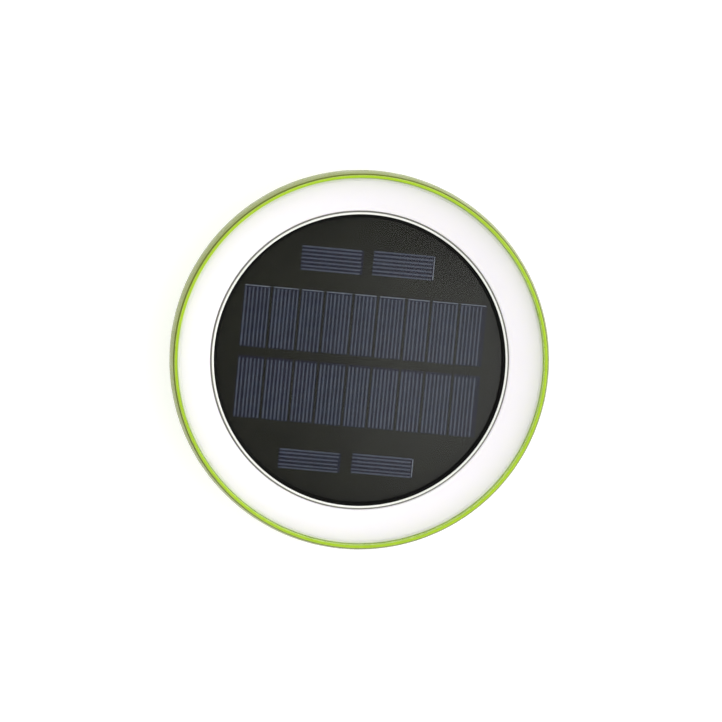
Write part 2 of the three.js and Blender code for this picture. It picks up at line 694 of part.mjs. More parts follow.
// A pan head screw, head down at its own origin, with a cross slot in the head.
function screw(length) {
  const body = turned([
    [0, 0],
    [SCREW_HEAD_R - SCREW_HEAD_ROUND, 0],
    [SCREW_HEAD_R, SCREW_HEAD_ROUND],
    [SCREW_HEAD_R, SCREW_HEAD_THICKNESS],
    [SCREW_R, SCREW_HEAD_THICKNESS],
    [SCREW_R, length - SCREW_POINT],
    [SCREW_R - SCREW_POINT, length],
    [0, length],
  ], 12);
  const across = block(-SLOT_HALF_LENGTH, SLOT_HALF_LENGTH, -SLOT_HALF_WIDTH, SLOT_HALF_WIDTH,
    -CUT, SLOT_DEPTH);
  const along = block(-SLOT_HALF_WIDTH, SLOT_HALF_WIDTH, -SLOT_HALF_LENGTH, SLOT_HALF_LENGTH,
    -CUT, SLOT_DEPTH);
  return body.subtract(across.add(along));
}

function addScrews() {
  coverScrewPlaces().forEach(([x, y], i) => {
    const piece = add(`cover_screw_${i + 1}`, screw(SCREW_LENGTH), STEEL);
    piece.position.set(x, y, COVER_BOTTOM_Z + SCREW_LIFT);
  });
  boardPostPlaces().forEach(([x, y], i) => {
    const piece = add(`board_screw_${i + 1}`, screw(SCREW_LENGTH), STEEL);
    piece.rotation.x = Math.PI;
    piece.position.set(x, y, MAIN_BOARD.topZ + SCREW_HEAD_HEIGHT + SCREW_WASHER_GAP);
  });
}

// ------------------------------------------------------- circuit board, button

// The board with its controller, coil and capacitor soldered on top and the button's switch below.
function addMainBoard() {
  const { x, y, length, width, bottomZ, topZ } = MAIN_BOARD;
  let board = block(x - length / 2, x + length / 2, y - width / 2, y + width / 2, bottomZ, topZ);
  for (const [postX, postY] of boardPostPlaces()) {
    board = board.subtract(bar(postX, postY, PILOT_R, bottomZ - CUT, topZ + CUT));
  }
  const half = SWITCH_SIZE / 2;
  const switchZ = bottomZ - SWITCH_HEIGHT;
  const solderZ = topZ - LAP;
  const controller = block(x - CONTROLLER.half, x + CONTROLLER.half, y - CONTROLLER.half,
    y + CONTROLLER.half, solderZ, topZ + CONTROLLER.height);
  const coil = bar(x + COIL.dx, y + COIL.dy, COIL.radius, solderZ, topZ + COIL.height);
  const capacitor = bar(x + CAPACITOR.dx, y + CAPACITOR.dy, CAPACITOR.radius, solderZ,
    topZ + CAPACITOR.height);
  const switchBody = block(BUTTON_X - half, BUTTON_X + half, BUTTON_Y - half, BUTTON_Y + half,
    switchZ, bottomZ + LAP);
  const plunger = bar(BUTTON_X, BUTTON_Y, PLUNGER_R, switchZ - PLUNGER_LENGTH, switchZ + LAP);
  for (const component of [controller, coil, capacitor, switchBody, plunger]) {
    board = board.add(component);
  }
  add('main_board', board, GREEN_BOARD);
}

function addButton() {
  const flangeTopZ = BUTTON_FLANGE_Z + BUTTON_FLANGE_THICKNESS;
  const button = add('mode_button', turned([
    [0, BUTTON_BOTTOM_Z],
    [BUTTON_R - BUTTON_EDGE, BUTTON_BOTTOM_Z],
    [BUTTON_R, BUTTON_BOTTOM_Z + BUTTON_EDGE],
    [BUTTON_R, BUTTON_FLANGE_Z],
    [BUTTON_FLANGE_R, BUTTON_FLANGE_Z],
    [BUTTON_FLANGE_R, flangeTopZ],
    [STEM_R, flangeTopZ],
    [STEM_R, STEM_TOP_Z],
    [0, STEM_TOP_Z],
  ], 24), WHITE_PLASTIC);
  button.position.set(BUTTON_X, BUTTON_Y, 0);
  const bootEdgeZ = FLOOR_TOP_Z + BOOT_FOOT_THICKNESS;
  const bootCeilingZ = BOOT_TOP_Z - BOOT_WALL;
  const boot = add('button_boot', turned([
    [BOOT_INNER_R, FLOOR_TOP_Z],
    [BOOT_R, FLOOR_TOP_Z],
    [BOOT_R, bootEdgeZ],
    [BOOT_INNER_R + BOOT_WALL, bootEdgeZ],
    [BOOT_SHOULDER_R, BOOT_TOP_Z - BOOT_ROUND],
    [BOOT_TOP_R, BOOT_TOP_Z],
    [0, BOOT_TOP_Z],
    [0, bootCeilingZ],
    [BOOT_TOP_R - BOOT_WALL / 2, bootCeilingZ],
    [BOOT_SHOULDER_R - BOOT_WALL, bootCeilingZ - BOOT_ROUND],
    [BOOT_INNER_R, bootEdgeZ],
  ], 16), BLACK_RUBBER);
  boot.position.set(BUTTON_X, BUTTON_Y, 0);
}

// ------------------------------------------------------------------ hanging ring

// A bent wire: two short ends in the lugs, two straight legs and a round end.
function addHangingRing() {
  const endX = RING_HALF_WIDTH + RING_WIRE_R + LUG_GAP / 2 + LUG_WIDTH;
  const legEndY = -(RING_REACH - RING_HALF_WIDTH);
  const round = [];
  for (let i = 0; i <= RING_ARC_STEPS; i += 1) {
    const angle = Math.PI * (1 + i / RING_ARC_STEPS);
    round.push([RING_HALF_WIDTH * Math.cos(angle), legEndY + RING_HALF_WIDTH * Math.sin(angle), 0]);
  }
  const ring = add('hanging_ring', wire([
    [-endX, 0, 0],
    [-RING_HALF_WIDTH - RING_BEND_WIDTH, 0, 0],
    [-RING_HALF_WIDTH, -RING_BEND, 0],
    [-RING_HALF_WIDTH, RING_LEG_Y, 0],
    ...round,
    [RING_HALF_WIDTH, RING_LEG_Y, 0],
    [RING_HALF_WIDTH, -RING_BEND, 0],
    [RING_HALF_WIDTH + RING_BEND_WIDTH, 0, 0],
    [endX, 0, 0],
  ], RING_WIRE_R, 8, 36), STEEL);
  ring.position.set(RING_X, RING_HINGE_Y, RING_Z);
}

// ---------------------------------------------------------------- inner leads

function addLeads() {
  const bayFaceY = BATTERY_MIDDLE_Y - BAY_HALF_WIDTH - BAY_WALL - GAP;
  const boardZ = MAIN_BOARD.topZ + LEAD_END_GAP;
  add('solar_cable', wire([
    [0, 0, TUB_FLOOR_Z - GAP],
    [0, -1, 36],
    [-1, -6, 31.5],
    [-4, -14, 26],
    [-6, -19, 21.5],
    [-6, -20, boardZ],
  ], CABLE_R, 8, 12), GREY_CABLE);
  add('led_cable', wire([
    [-50, -63.7, REFLECTOR_BOTTOM_Z - GAP - LAP],
    [-49, -61, 36],
    [-44, -52, 27],
    [-37, -40, 22],
    [-33, -31, 20.5],
    [-33, -29, boardZ],
  ], LED_CABLE_R, 8, 12), GREY_CABLE);
  add('battery_lead_negative', wire([
    [-31, bayFaceY, 22],
    [-31, -6, 22.6],
    [-30, -11, 22],
    [-28, -15, 20.5],
    [-28, -16, boardZ],
  ], LEAD_R, 8, 10), BLACK_WIRE);
  add('battery_lead_positive', wire([
    [31, bayFaceY, 22],
    [29, -7, 23],
    [18, -10, 23.5],
    [4, -13, 22.5],
    [-7, -15.2, 21],
    [-10, -16, boardZ],
  ], LEAD_R, 8, 14), RED_WIRE);
}

// -------------------------------------------------------------------- assembly

addHull();
addFloor();
addRim();
addRimSeal();
addDiffuser();
addCarrier();
addCarrierSeal();
addPanel();
addCells();
addReflector();
addLeds();
addBatteryBay();
addBattery();
addBatterySpring();
addBatteryPlate();
addBatteryCover();
addScrews();
addMainBoard();
addButton();
addHangingRing();
addLeads();

export default light;
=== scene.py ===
"""The looks of the floating pool light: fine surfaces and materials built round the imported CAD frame."""

import json
import math
import random

import bmesh
import bpy
from mathutils import Matrix, Vector


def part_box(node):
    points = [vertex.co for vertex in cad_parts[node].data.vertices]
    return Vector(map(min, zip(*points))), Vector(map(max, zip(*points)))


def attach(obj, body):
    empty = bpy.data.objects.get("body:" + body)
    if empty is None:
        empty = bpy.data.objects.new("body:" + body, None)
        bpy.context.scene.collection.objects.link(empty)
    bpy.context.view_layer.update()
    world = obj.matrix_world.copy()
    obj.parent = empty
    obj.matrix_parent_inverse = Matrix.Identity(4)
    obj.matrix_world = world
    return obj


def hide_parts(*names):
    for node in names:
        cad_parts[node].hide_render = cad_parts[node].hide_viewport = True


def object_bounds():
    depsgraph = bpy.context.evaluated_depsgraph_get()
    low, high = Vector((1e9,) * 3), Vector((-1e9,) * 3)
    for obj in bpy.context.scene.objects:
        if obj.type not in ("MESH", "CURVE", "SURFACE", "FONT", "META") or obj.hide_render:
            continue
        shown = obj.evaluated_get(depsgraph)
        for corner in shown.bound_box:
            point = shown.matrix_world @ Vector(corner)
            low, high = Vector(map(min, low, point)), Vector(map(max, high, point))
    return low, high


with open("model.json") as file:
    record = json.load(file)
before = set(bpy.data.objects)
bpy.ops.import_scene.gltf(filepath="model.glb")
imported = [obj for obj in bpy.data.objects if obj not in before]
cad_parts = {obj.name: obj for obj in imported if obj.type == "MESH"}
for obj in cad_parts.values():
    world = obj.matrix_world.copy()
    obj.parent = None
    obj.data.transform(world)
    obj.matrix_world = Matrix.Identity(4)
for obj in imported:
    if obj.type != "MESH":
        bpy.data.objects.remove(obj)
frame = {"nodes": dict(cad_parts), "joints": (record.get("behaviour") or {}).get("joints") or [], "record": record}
cad_low, cad_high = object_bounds()

MM = 0.001
BODY = "light"
TURN_STEPS = 240  # steps round every large ring
CORNER_STEPS = 5  # steps in a rectangle's round corner
MOST_OF_SIDE = 0.49  # the share of a side that a fillet may take
SHARP_ANGLE = math.radians(35)  # an edge that turns more than this looks sharp
AXIS_R = 1e-7  # a point of an outline this close to the axis is on it
FLAT_LENGTH = 1.5 * MM  # the shortest straight stretch of an outline that is kept flat
FLAT_MARGIN = 0.2 * MM  # how far from its ends such a stretch is held
CUT = 1 * MM  # how far a cutter reaches past what it cuts
LAP = 0.1 * MM  # how far two cutters of one hole overlap


# ------------------------------------------------------------------ sizes from the frame

def ring_size(node):
    """Inner radius, outer radius, lowest and highest z of a round CAD node."""
    radii = [math.hypot(v.co.x, v.co.y) for v in frame["nodes"][node].data.vertices]
    low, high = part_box(node)
    return min(radii), max(radii), low.z, high.z


def middle(node):
    """The middle of a CAD node's box."""
    low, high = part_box(node)
    return (low + high) / 2


def hinge_place():
    """The middle of the hanging ring's hinge."""
    places = {joint["name"]: joint.get("pos_m") for joint in frame["joints"]}
    return Vector(places["hanging_ring_hinge"])


def screw_places():
    """The middles of the four cover screws."""
    return [middle(f"cover_screw_{i}") for i in range(1, 5)]


# ------------------------------------------------------------------ outlines

def rounded_outline(corners, steps):
    """A closed outline from corners (x, y, fillet radius); a fillet becomes an arc."""
    points = []
    count = len(corners)
    for i, (x, y, fillet) in enumerate(corners):
        here = Vector((x, y))
        if fillet <= 0:
            points.append((here.x, here.y))
            continue
        before = Vector(corners[i - 1][:2]) - here
        after = Vector(corners[(i + 1) % count][:2]) - here
        half = before.angle(after) / 2
        reach = min(fillet / math.tan(half), MOST_OF_SIDE * before.length, MOST_OF_SIDE * after.length)
        radius = reach * math.tan(half)
        inward = (before.normalized() + after.normalized()).normalized()
        hub = here + inward * (radius / math.sin(half))
        start = here + before.normalized() * reach - hub
        end = here + after.normalized() * reach - hub
        sweep = start.angle_signed(end)
        for k in range(steps + 1):
            turn = Matrix.Rotation(-sweep * k / steps, 2)
            spoke = turn @ start
            points.append((hub.x + spoke.x, hub.y + spoke.y))
    return points


def arc_points(hub_r, hub_z, reach_r, reach_z, start, end, steps):
    """Points along an elliptical arc; angles in degrees from +radius towards +height."""
    points = []
    for k in range(steps + 1):
        angle = math.radians(start + (end - start) * k / steps)
        points.append((hub_r + reach_r * math.cos(angle), hub_z + reach_z * math.sin(angle)))
    return points


def curve_points(start, knee, end, steps):
    """Points along a quadratic curve pulled towards its knee, without its two ends."""
    points = []
    for k in range(1, steps):
        t = k / steps
        weights = ((1 - t) ** 2, 2 * t * (1 - t), t * t)
        points.append(tuple(sum(w * p[i] for w, p in zip(weights, (start, knee, end))) for i in range(2)))
    return points


def smooth_path(points, steps):
    """A Catmull-Rom path through points."""
    path = []
    count = len(points)
    for i in range(count - 1):
        p = [Vector(points[max(0, min(count - 1, i + k))]) for k in (-1, 0, 1, 2)]
        for step in range(steps):
            t = step / steps
            path.append(0.5 * ((2 * p[1]) + (p[2] - p[0]) * t
                        + (2 * p[0] - 5 * p[1] + 4 * p[2] - p[3]) * t ** 2
                        + (3 * p[1] - p[0] - 3 * p[2] + p[3]) * t ** 3))
    path.append(Vector(points[-1]))
    return path


def rectangle(x, y, half_x, half_y, corner):
    """A rectangle's outline, with round corners."""
    return rounded_outline([
        (x - half_x, y - half_y, corner),
        (x + half_x, y - half_y, corner),
        (x + half_x, y + half_y, corner),
        (x - half_x, y + half_y, corner),
    ], CORNER_STEPS)


def circle(x, y, radius, steps):
    """A circle's outline."""
    spokes = [2 * math.pi * k / steps for k in range(steps)]
    return [(x + radius * math.cos(a), y + radius * math.sin(a)) for a in spokes]


def hold_flats(outline):
    """The outline with a point just inside both ends of each long straight stretch, so flats shade flat."""
    held = []
    for (r0, z0), (r1, z1) in zip(outline, outline[1:] + outline[:1]):
        held.append((r0, z0))
        length = math.hypot(r1 - r0, z1 - z0)
        if length > FLAT_LENGTH and max(r0, r1) > AXIS_R:
            for along in (FLAT_MARGIN / length, 1 - FLAT_MARGIN / length):
                held.append((r0 + (r1 - r0) * along, z0 + (z1 - z0) * along))
    return held


# ------------------------------------------------------------------ meshes

def object_from(bm, name):
    """Turns a bmesh into an object with outward faces, smooth but for its sharp edges."""
    bmesh.ops.recalc_face_normals(bm, faces=bm.faces)
    mesh = bpy.data.meshes.new(name)
    bm.to_mesh(mesh)
    bm.free()
    mesh.shade_smooth()
    mesh.set_sharp_from_angle(angle=SHARP_ANGLE)
    piece = bpy.data.objects.new(name, mesh)
    bpy.context.scene.collection.objects.link(piece)
    return piece


def lathe(name, outline, at=(0.0, 0.0), steps=TURN_STEPS):
    """A closed outline of (radius, height) turned about the vertical through at."""
    bm = bmesh.new()
    rings = []
    for radius, height in hold_flats(outline):
        if radius < AXIS_R:
            rings.append([bm.verts.new((at[0], at[1], height))])
            continue
        rings.append([bm.verts.new((x, y, height)) for x, y in circle(at[0], at[1], radius, steps)])
    for i, ring in enumerate(rings):
        other = rings[(i + 1) % len(rings)]
        if len(ring) == 1 and len(other) == 1:
            continue
        for k in range(steps):
            n = (k + 1) % steps
            if len(ring) == 1:
                bm.faces.new((ring[0], other[n], other[k]))
            elif len(other) == 1:
                bm.faces.new((ring[k], ring[n], other[0]))
            else:
                bm.faces.new((ring[k], ring[n], other[n], other[k]))
    return object_from(bm, name)


def add_slab(bm, outline, low, high, material=0):
    """Adds to bm an upright slab of a closed outline of (x, y)."""
    bottom = [bm.verts.new((x, y, low)) for x, y in outline]
    top = [bm.verts.new((x, y, high)) for x, y in outline]
    count = len(outline)
    faces = [bm.faces.new(bottom[::-1]), bm.faces.new(top)]
    for k in range(count):
        n = (k + 1) % count
        faces.append(bm.faces.new((bottom[k], bottom[n], top[n], top[k])))
    for face in faces:
        face.material_index = material


def lay_along_x(bm):
    """Turns upright slabs of (y, z) outlines so that they lie along x."""
    for vertex in bm.verts:
        y, z, x = vertex.co
        vertex.co = (x, y, z)


def apply_modifiers(piece):
    """Leaves a piece's evaluated shape as its mesh."""
    bpy.context.view_layer.update()
    graph = bpy.context.evaluated_depsgraph_get()
    mesh = bpy.data.meshes.new_from_object(piece.evaluated_get(graph))
    piece.modifiers.clear()
    old = piece.data
    piece.data = mesh
    bpy.data.meshes.remove(old)
    mesh.shade_smooth()
    mesh.set_sharp_from_angle(angle=SHARP_ANGLE)


def round_edges(piece, width, steps, angle):
    """Rounds the edges of a piece that turn by more than an angle in degrees."""
    bevel = piece.modifiers.new("edges", "BEVEL")
    bevel.width = width
    bevel.segments = steps
    bevel.limit_method = "ANGLE"
    bevel.angle_limit = math.radians(angle)
    apply_modifiers(piece)


def combine(piece, other, operation):
    """Cuts other from piece, or joins it on, and removes other."""
    boolean = piece.modifiers.new("join", "BOOLEAN")
    boolean.operation = operation
    boolean.solver = "EXACT"
    boolean.object = other
    apply_modifiers(piece)
    bpy.data.objects.remove(other)


def tube(name, points, radius, sides):
    """A round wire through the given points, as a mesh."""
    curve = bpy.data.curves.new(name, "CURVE")
    curve.dimensions = "3D"
    curve.bevel_depth = radius
    curve.bevel_resolution = sides // 4
    curve.use_fill_caps = True
    spline = curve.splines.new("POLY")
    spline.points.add(len(points) - 1)
    for point, place in zip(spline.points, points):
        point.co = (*place, 1)
    holder = bpy.data.objects.new(name + "_curve", curve)
    bpy.context.scene.collection.objects.link(holder)
    bpy.context.view_layer.update()
    graph = bpy.context.evaluated_depsgraph_get()
    mesh = bpy.data.meshes.new_from_object(holder.evaluated_get(graph))
    bpy.data.objects.remove(holder)
    bm = bmesh.new()
    bm.from_mesh(mesh)
    bpy.data.meshes.remove(mesh)
    bmesh.ops.remove_doubles(bm, verts=bm.verts, dist=1e-6)
    return object_from(bm, name)


# ------------------------------------------------------------------ shader parts

def start_material(name):
    """A new material with its node tree, Principled shader and object coordinates."""
    material = bpy.data.materials.new(name)
    material.use_nodes = True
    tree = material.node_tree
    shader = tree.nodes["Principled BSDF"]
    place = tree.nodes.new("ShaderNodeTexCoord")
    return material, tree, shader, place.outputs["Object"]


def noise(tree, place, scale, detail, roughness=0.5):
    """A noise pattern; scale is in cycles per metre."""
    node = tree.nodes.new("ShaderNodeTexNoise")
    node.inputs["Scale"].default_value = scale
    node.inputs["Detail"].default_value = detail
    node.inputs["Roughness"].default_value = roughness
    tree.links.new(place, node.inputs["Vector"])
    return node.outputs["Fac"]


def spread(tree, value, low, high):
    """Maps the middle of a 0 to 1 pattern, where most of a noise lies, onto low to high."""
    node = tree.nodes.new("ShaderNodeMapRange")
    node.inputs["From Min"].default_value = 0.3
    node.inputs["From Max"].default_value = 0.7
    node.inputs["To Min"].default_value = low
    node.inputs["To Max"].default_value = high
    tree.links.new(value, node.inputs["Value"])
    return node.outputs["Result"]


def two_tone(tree, value, colour_a, colour_b, socket):
    """Blends two colours into a socket by the middle of a 0 to 1 pattern."""
    ramp = tree.nodes.new("ShaderNodeValToRGB")
    ramp.color_ramp.elements[0].position = 0.35
    ramp.color_ramp.elements[0].color = (*colour_a, 1)
    ramp.color_ramp.elements[1].position = 0.65
    ramp.color_ramp.elements[1].color = (*colour_b, 1)
    tree.links.new(value, ramp.inputs["Fac"])
    tree.links.new(ramp.outputs["Color"], socket)


def bump(tree, shader, value, depth, under=None):
    """Raises the surface by a pattern, depth metres from 0 to 1, over the relief that is under it."""
    node = tree.nodes.new("ShaderNodeBump")
    node.inputs["Strength"].default_value = 1.0
    node.inputs["Distance"].default_value = depth
    tree.links.new(value, node.inputs["Height"])
    if under is not None:
        tree.links.new(under, node.inputs["Normal"])
    tree.links.new(node.outputs["Normal"], shader.inputs["Normal"])
    return node.outputs["Normal"]


def shade(colour, factor):
    """A colour made lighter or darker."""
    return tuple(min(1.0, c * factor) for c in colour)


def let_glow(shader, strength):
    """Gives a shader a white glow of its own."""
    shader.inputs["Emission Color"].default_value = (1, 1, 1, 1)
    shader.inputs["Emission Strength"].default_value = strength


# ------------------------------------------------------------------ materials

WAVE_DEPTH = 1e-5  # the height in metres of the slow waves in moulded surfaces
GLOSS_CHANGE = 0.06  # how far a moulded surface's roughness wanders either way
GLOW_TINT = (1.0, 1.0, 0.6)  # how far each colour of light travels under translucent plastic


def moulded(name, colour, roughness, grain=900, grain_depth=4e-6, glow=0.0, glow_reach=0.002,
            variety=0.05, shine=0.5, lit=0.0):
    """Moulded plastic or rubber: fine grain, slight waviness, uneven gloss and colour.

    grain is in cycles per metre, and grain_depth and glow_reach are in metres.
    """
    material, tree, shader, place = start_material(name)
    broad = noise(tree, place, scale=45, detail=2)
    two_tone(tree, broad, shade(colour, 1 - variety), shade(colour, 1 + variety / 2),
             shader.inputs["Base Color"])
    patches = noise(tree, place, scale=130, detail=4)
    gloss = spread(tree, patches, roughness - GLOSS_CHANGE, roughness + GLOSS_CHANGE)
    tree.links.new(gloss, shader.inputs["Roughness"])
    waves = bump(tree, shader, noise(tree, place, scale=60, detail=1), WAVE_DEPTH)
    bump(tree, shader, noise(tree, place, scale=grain, detail=4), grain_depth, under=waves)
    shader.inputs["Specular IOR Level"].default_value = shine
    if glow > 0:
        shader.inputs["Subsurface Weight"].default_value = glow
        shader.inputs["Subsurface Scale"].default_value = glow_reach
        shader.inputs["Subsurface Radius"].default_value = GLOW_TINT
    if lit > 0:
        let_glow(shader, lit)
    return material


def metal(name, colour, roughness):
    """Plated metal with fine scratches."""
    material, tree, shader, place = start_material(name)
    shader.inputs["Metallic"].default_value = 1.0
    scratches = noise(tree, place, scale=700, detail=5)
    two_tone(tree, scratches, shade(colour, 0.85), colour, shader.inputs["Base Color"])
    gloss = spread(tree, scratches, roughness - 0.08, roughness + 0.1)
    tree.links.new(gloss, shader.inputs["Roughness"])
    bump(tree, shader, scratches, 6e-6)
    return material


def clear_plastic(name):
    """Clear polished plastic with faint ripples."""
    material, tree, shader, place = start_material(name)
    shader.inputs["Base Color"].default_value = (0.97, 0.98, 0.98, 1)
    shader.inputs["Transmission Weight"].default_value = 1.0
    shader.inputs["IOR"].default_value = 1.5
    shader.inputs["Roughness"].default_value = 0.12
    bump(tree, shader, noise(tree, place, scale=22, detail=2), 3e-5)
    return material


def silicon(name):
    """Polycrystalline silicon: blue grains with a violet cast in places."""
    material, tree, shader, place = start_material(name)
    grains = tree.nodes.new("ShaderNodeTexVoronoi")
    grains.inputs["Scale"].default_value = 260
    tree.links.new(place, grains.inputs["Vector"])
    tone = tree.nodes.new("ShaderNodeSeparateColor")
    tree.links.new(grains.outputs["Color"], tone.inputs["Color"])
    blues = tree.nodes.new("ShaderNodeMix")
    blues.data_type = "RGBA"
    blues.inputs["A"].default_value = (0.004, 0.008, 0.023, 1)
    blues.inputs["B"].default_value = (0.009, 0.015, 0.037, 1)
    tree.links.new(tone.outputs["Red"], blues.inputs["Factor"])
    violet = tree.nodes.new("ShaderNodeMix")
    violet.data_type = "RGBA"
    violet.inputs["B"].default_value = (0.020, 0.011, 0.034, 1)
    cast = spread(tree, noise(tree, place, scale=28, detail=2), 0.0, 0.5)
    tree.links.new(cast, violet.inputs["Factor"])
    tree.links.new(blues.outputs["Result"], violet.inputs["A"])
    tree.links.new(violet.outputs["Result"], shader.inputs["Base Color"])
    tree.links.new(spread(tree, tone.outputs["Green"], 0.4, 0.5), shader.inputs["Roughness"])
    shader.inputs["Specular IOR Level"].default_value = 0.1
    return material


def printed(name, colour_a, colour_b, scale, roughness):
    """Printed or tinned lines whose tone breaks up along them."""
    material, tree, shader, place = start_material(name)
    breaks = noise(tree, place, scale, detail=4, roughness=0.7)
    two_tone(tree, breaks, colour_a, colour_b, shader.inputs["Base Color"])
    shader.inputs["Roughness"].default_value = roughness
    shader.inputs["Specular IOR Level"].default_value = 0.1
    return material


def board_mask(name, colour):
    """Solder mask with a faint mottle."""
    material, tree, shader, place = start_material(name)
    mottle = noise(tree, place, scale=60, detail=3)
    two_tone(tree, mottle, shade(colour, 0.85), shade(colour, 1.1), shader.inputs["Base Color"])
    gloss = noise(tree, place, scale=90, detail=3)
    tree.links.new(spread(tree, gloss, 0.45, 0.6), shader.inputs["Roughness"])
    shader.inputs["Specular IOR Level"].default_value = 0.05
    return material


LIME = (0.35, 0.53, 0.028)
# painted shade: the bowl's colour is the rim's lime darkened to about half, so that its outer wall looks shaded;
# the floor plate and the battery cover share it
SHADED_HULL_LIME = (0.178, 0.215, 0.031)

MATERIALS = {
    "hull": moulded("lime_hull_plastic", SHADED_HULL_LIME, 0.25, shine=0.09, variety=0.03),
    "rim": moulded("lime_rim_plastic", LIME, 0.28, glow=0.25, shine=0.2),
    "silicone": moulded("white_silicone", (0.82, 0.82, 0.78), 0.5, grain=500),
    # painted light: the light ring's faint glow of its own (lit) evens out the shade the rim throws on it, and its
    # base colour is lowered to make up for the glow
    "diffuser": moulded("frosted_diffuser", (0.71, 0.68, 0.71), 0.42, grain=1800, grain_depth=5e-6,
                        glow=0.5, glow_reach=0.004, variety=0.01, lit=0.2),
    "white": moulded("white_plastic", (0.9, 0.9, 0.86), 0.35),
    "rubber": moulded("black_rubber", (0.012, 0.012, 0.011), 0.6, grain=700, grain_depth=8e-6),
    "grey_rubber": moulded("grey_rubber", (0.28, 0.28, 0.25), 0.6, grain=700, grain_depth=6e-6),
    "black": moulded("black_plastic", (0.003, 0.003, 0.0028), 0.5, shine=0.08),
    "window": clear_plastic("clear_window_plastic"),
    "panel_board": board_mask("black_panel_board", (0.0155, 0.0155, 0.0078)),
    "board": board_mask("green_board", (0.01, 0.1, 0.03)),
    "silicon": silicon("solar_silicon"),
    "finger": printed("printed_finger", (0.085, 0.102, 0.150), (0.135, 0.155, 0.215), 900, 0.5),
    "tab": printed("tinned_tab", (0.20, 0.23, 0.29), (0.42, 0.46, 0.52), 700, 0.4),
    "steel": metal("plated_steel", (0.58, 0.58, 0.56), 0.28),
    "wrap": moulded("battery_wrap", (0.03, 0.15, 0.42), 0.3),
    "led": moulded("led_package", (0.85, 0.7, 0.16), 0.35),
    "grey": moulded("grey_cable", (0.22, 0.23, 0.24), 0.45),
    "red": moulded("red_wire", (0.45, 0.02, 0.015), 0.4),
    "wire_black": moulded("black_wire", (0.01, 0.01, 0.01), 0.4),
}


def dress(piece, slot, *names):
    """Gives a piece its materials; the slot is not used."""
    for name in names:
        piece.data.materials.append(MATERIALS[name])
    return piece


def stand_in(piece, body, *nodes):
    """The piece rides on a body and replaces CAD nodes."""
    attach(piece, body)
    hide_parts(*nodes)


# ------------------------------------------------------------------ bowl

EQUATOR_Z = 44 * MM  # the height of the bowl's widest section
SHOULDER_R = 55 * MM  # the radius of the arc from there up to the edge
HULL_WALL = 2.4 * MM
FOOT_WIDTH = 5 * MM
FOOT_ROUND = 0.6 * MM
EDGE_WIDTH, EDGE_HEIGHT = 0.2 * MM, 0.35 * MM  # the rounding of the bowl's edge
GROOVE_LOW, GROOVE_HIGH = 2.8 * MM, 0.6 * MM  # how far under the edge the groove starts and ends
GROOVE_DEPTH = 0.5 * MM
GROOVE_SLOPE = 0.2 * MM
LEDGE_WIDTH = 1.2 * MM
LEDGE_DROP = 1 * MM


def shoulder_r(outer, z):
    """The bowl's outer radius at a height above its widest section."""
    return outer - SHOULDER_R + math.sqrt(SHOULDER_R ** 2 - (z - EQUATOR_Z) ** 2)


def make_hull():
    """The bowl: a round foot, a curved wall with a groove under its edge, and a ledge for the rim."""
    inner, outer, _, high = ring_size("lower_hull")
    _, mouth, ledge_z, _ = ring_size("upper_rim")
    foot_outer = inner + FOOT_WIDTH
    edge_z = high - EDGE_HEIGHT
    lean = math.degrees(math.asin((edge_z - EQUATOR_Z) / SHOULDER_R))
    bowl = arc_points(foot_outer, EQUATOR_Z, outer - foot_outer, EQUATOR_Z, -90, 0, 64)
    shoulder = arc_points(outer - SHOULDER_R, EQUATOR_Z, SHOULDER_R, SHOULDER_R, 0, lean, 16)
    inside = arc_points(foot_outer, EQUATOR_Z, outer - foot_outer - HULL_WALL, EQUATOR_Z - HULL_WALL,
                        -4, -86, 48)
    groove_low, groove_high = high - GROOVE_LOW, high - GROOVE_HIGH
    groove_r = shoulder_r(outer, groove_high) - GROOVE_DEPTH
    ledge_r = mouth - LEDGE_WIDTH
    outline = [(inner + FOOT_ROUND, 0.0), *bowl, *(p for p in shoulder[1:] if p[1] < groove_low)]
    outline += [
        (shoulder_r(outer, groove_low), groove_low),
        (groove_r, groove_low + GROOVE_SLOPE),
        (groove_r, groove_high),
        (shoulder_r(outer, groove_high), groove_high),
    ]
    outline += arc_points(shoulder[-1][0] - EDGE_WIDTH, edge_z, EDGE_WIDTH, EDGE_HEIGHT, 20, 90, 5)
    outline += [(mouth, high), (mouth, ledge_z), (ledge_r, ledge_z), (ledge_r, ledge_z - LEDGE_DROP)]
    outline += [*inside, (inner, FLOOR_TOP_Z), (inner, FOOT_ROUND)]
    outline += arc_points(inner + FOOT_ROUND, FOOT_ROUND, FOOT_ROUND, FOOT_ROUND, 180, 255, 5)
    stand_in(dress(lathe("hull_bowl", outline), "lime_shell", "hull"), BODY, "lower_hull")


# ------------------------------------------------------------------ floor plate

FLOOR_Z, FLOOR_TOP_Z = 4 * MM, 6.4 * MM
FLOOR_R = 50.8 * MM
FLOOR_CHAMFER = 0.4 * MM
FLOOR_LIP_WIDTH = 1.3 * MM
BAY_HALF_LENGTH, BAY_HALF_WIDTH = 36 * MM, 10.5 * MM
BAY_CORNER = 1 * MM
BUTTON_HOLE_R = 6 * MM
SCREW_HOLE_R = 1.6 * MM
LUG_X = 12.4 * MM  # from the hinge's middle to each lug's
LUG_HALF_WIDTH, LUG_HALF_DEPTH = 1.4 * MM, 2.6 * MM
LUG_BOTTOM_Z = 0.4 * MM
LUG_ROUND = 1.9 * MM
LUG_ROOT = 0.5 * MM  # how far a lug reaches into the plate
LUG_HOLE_R = 1.6 * MM


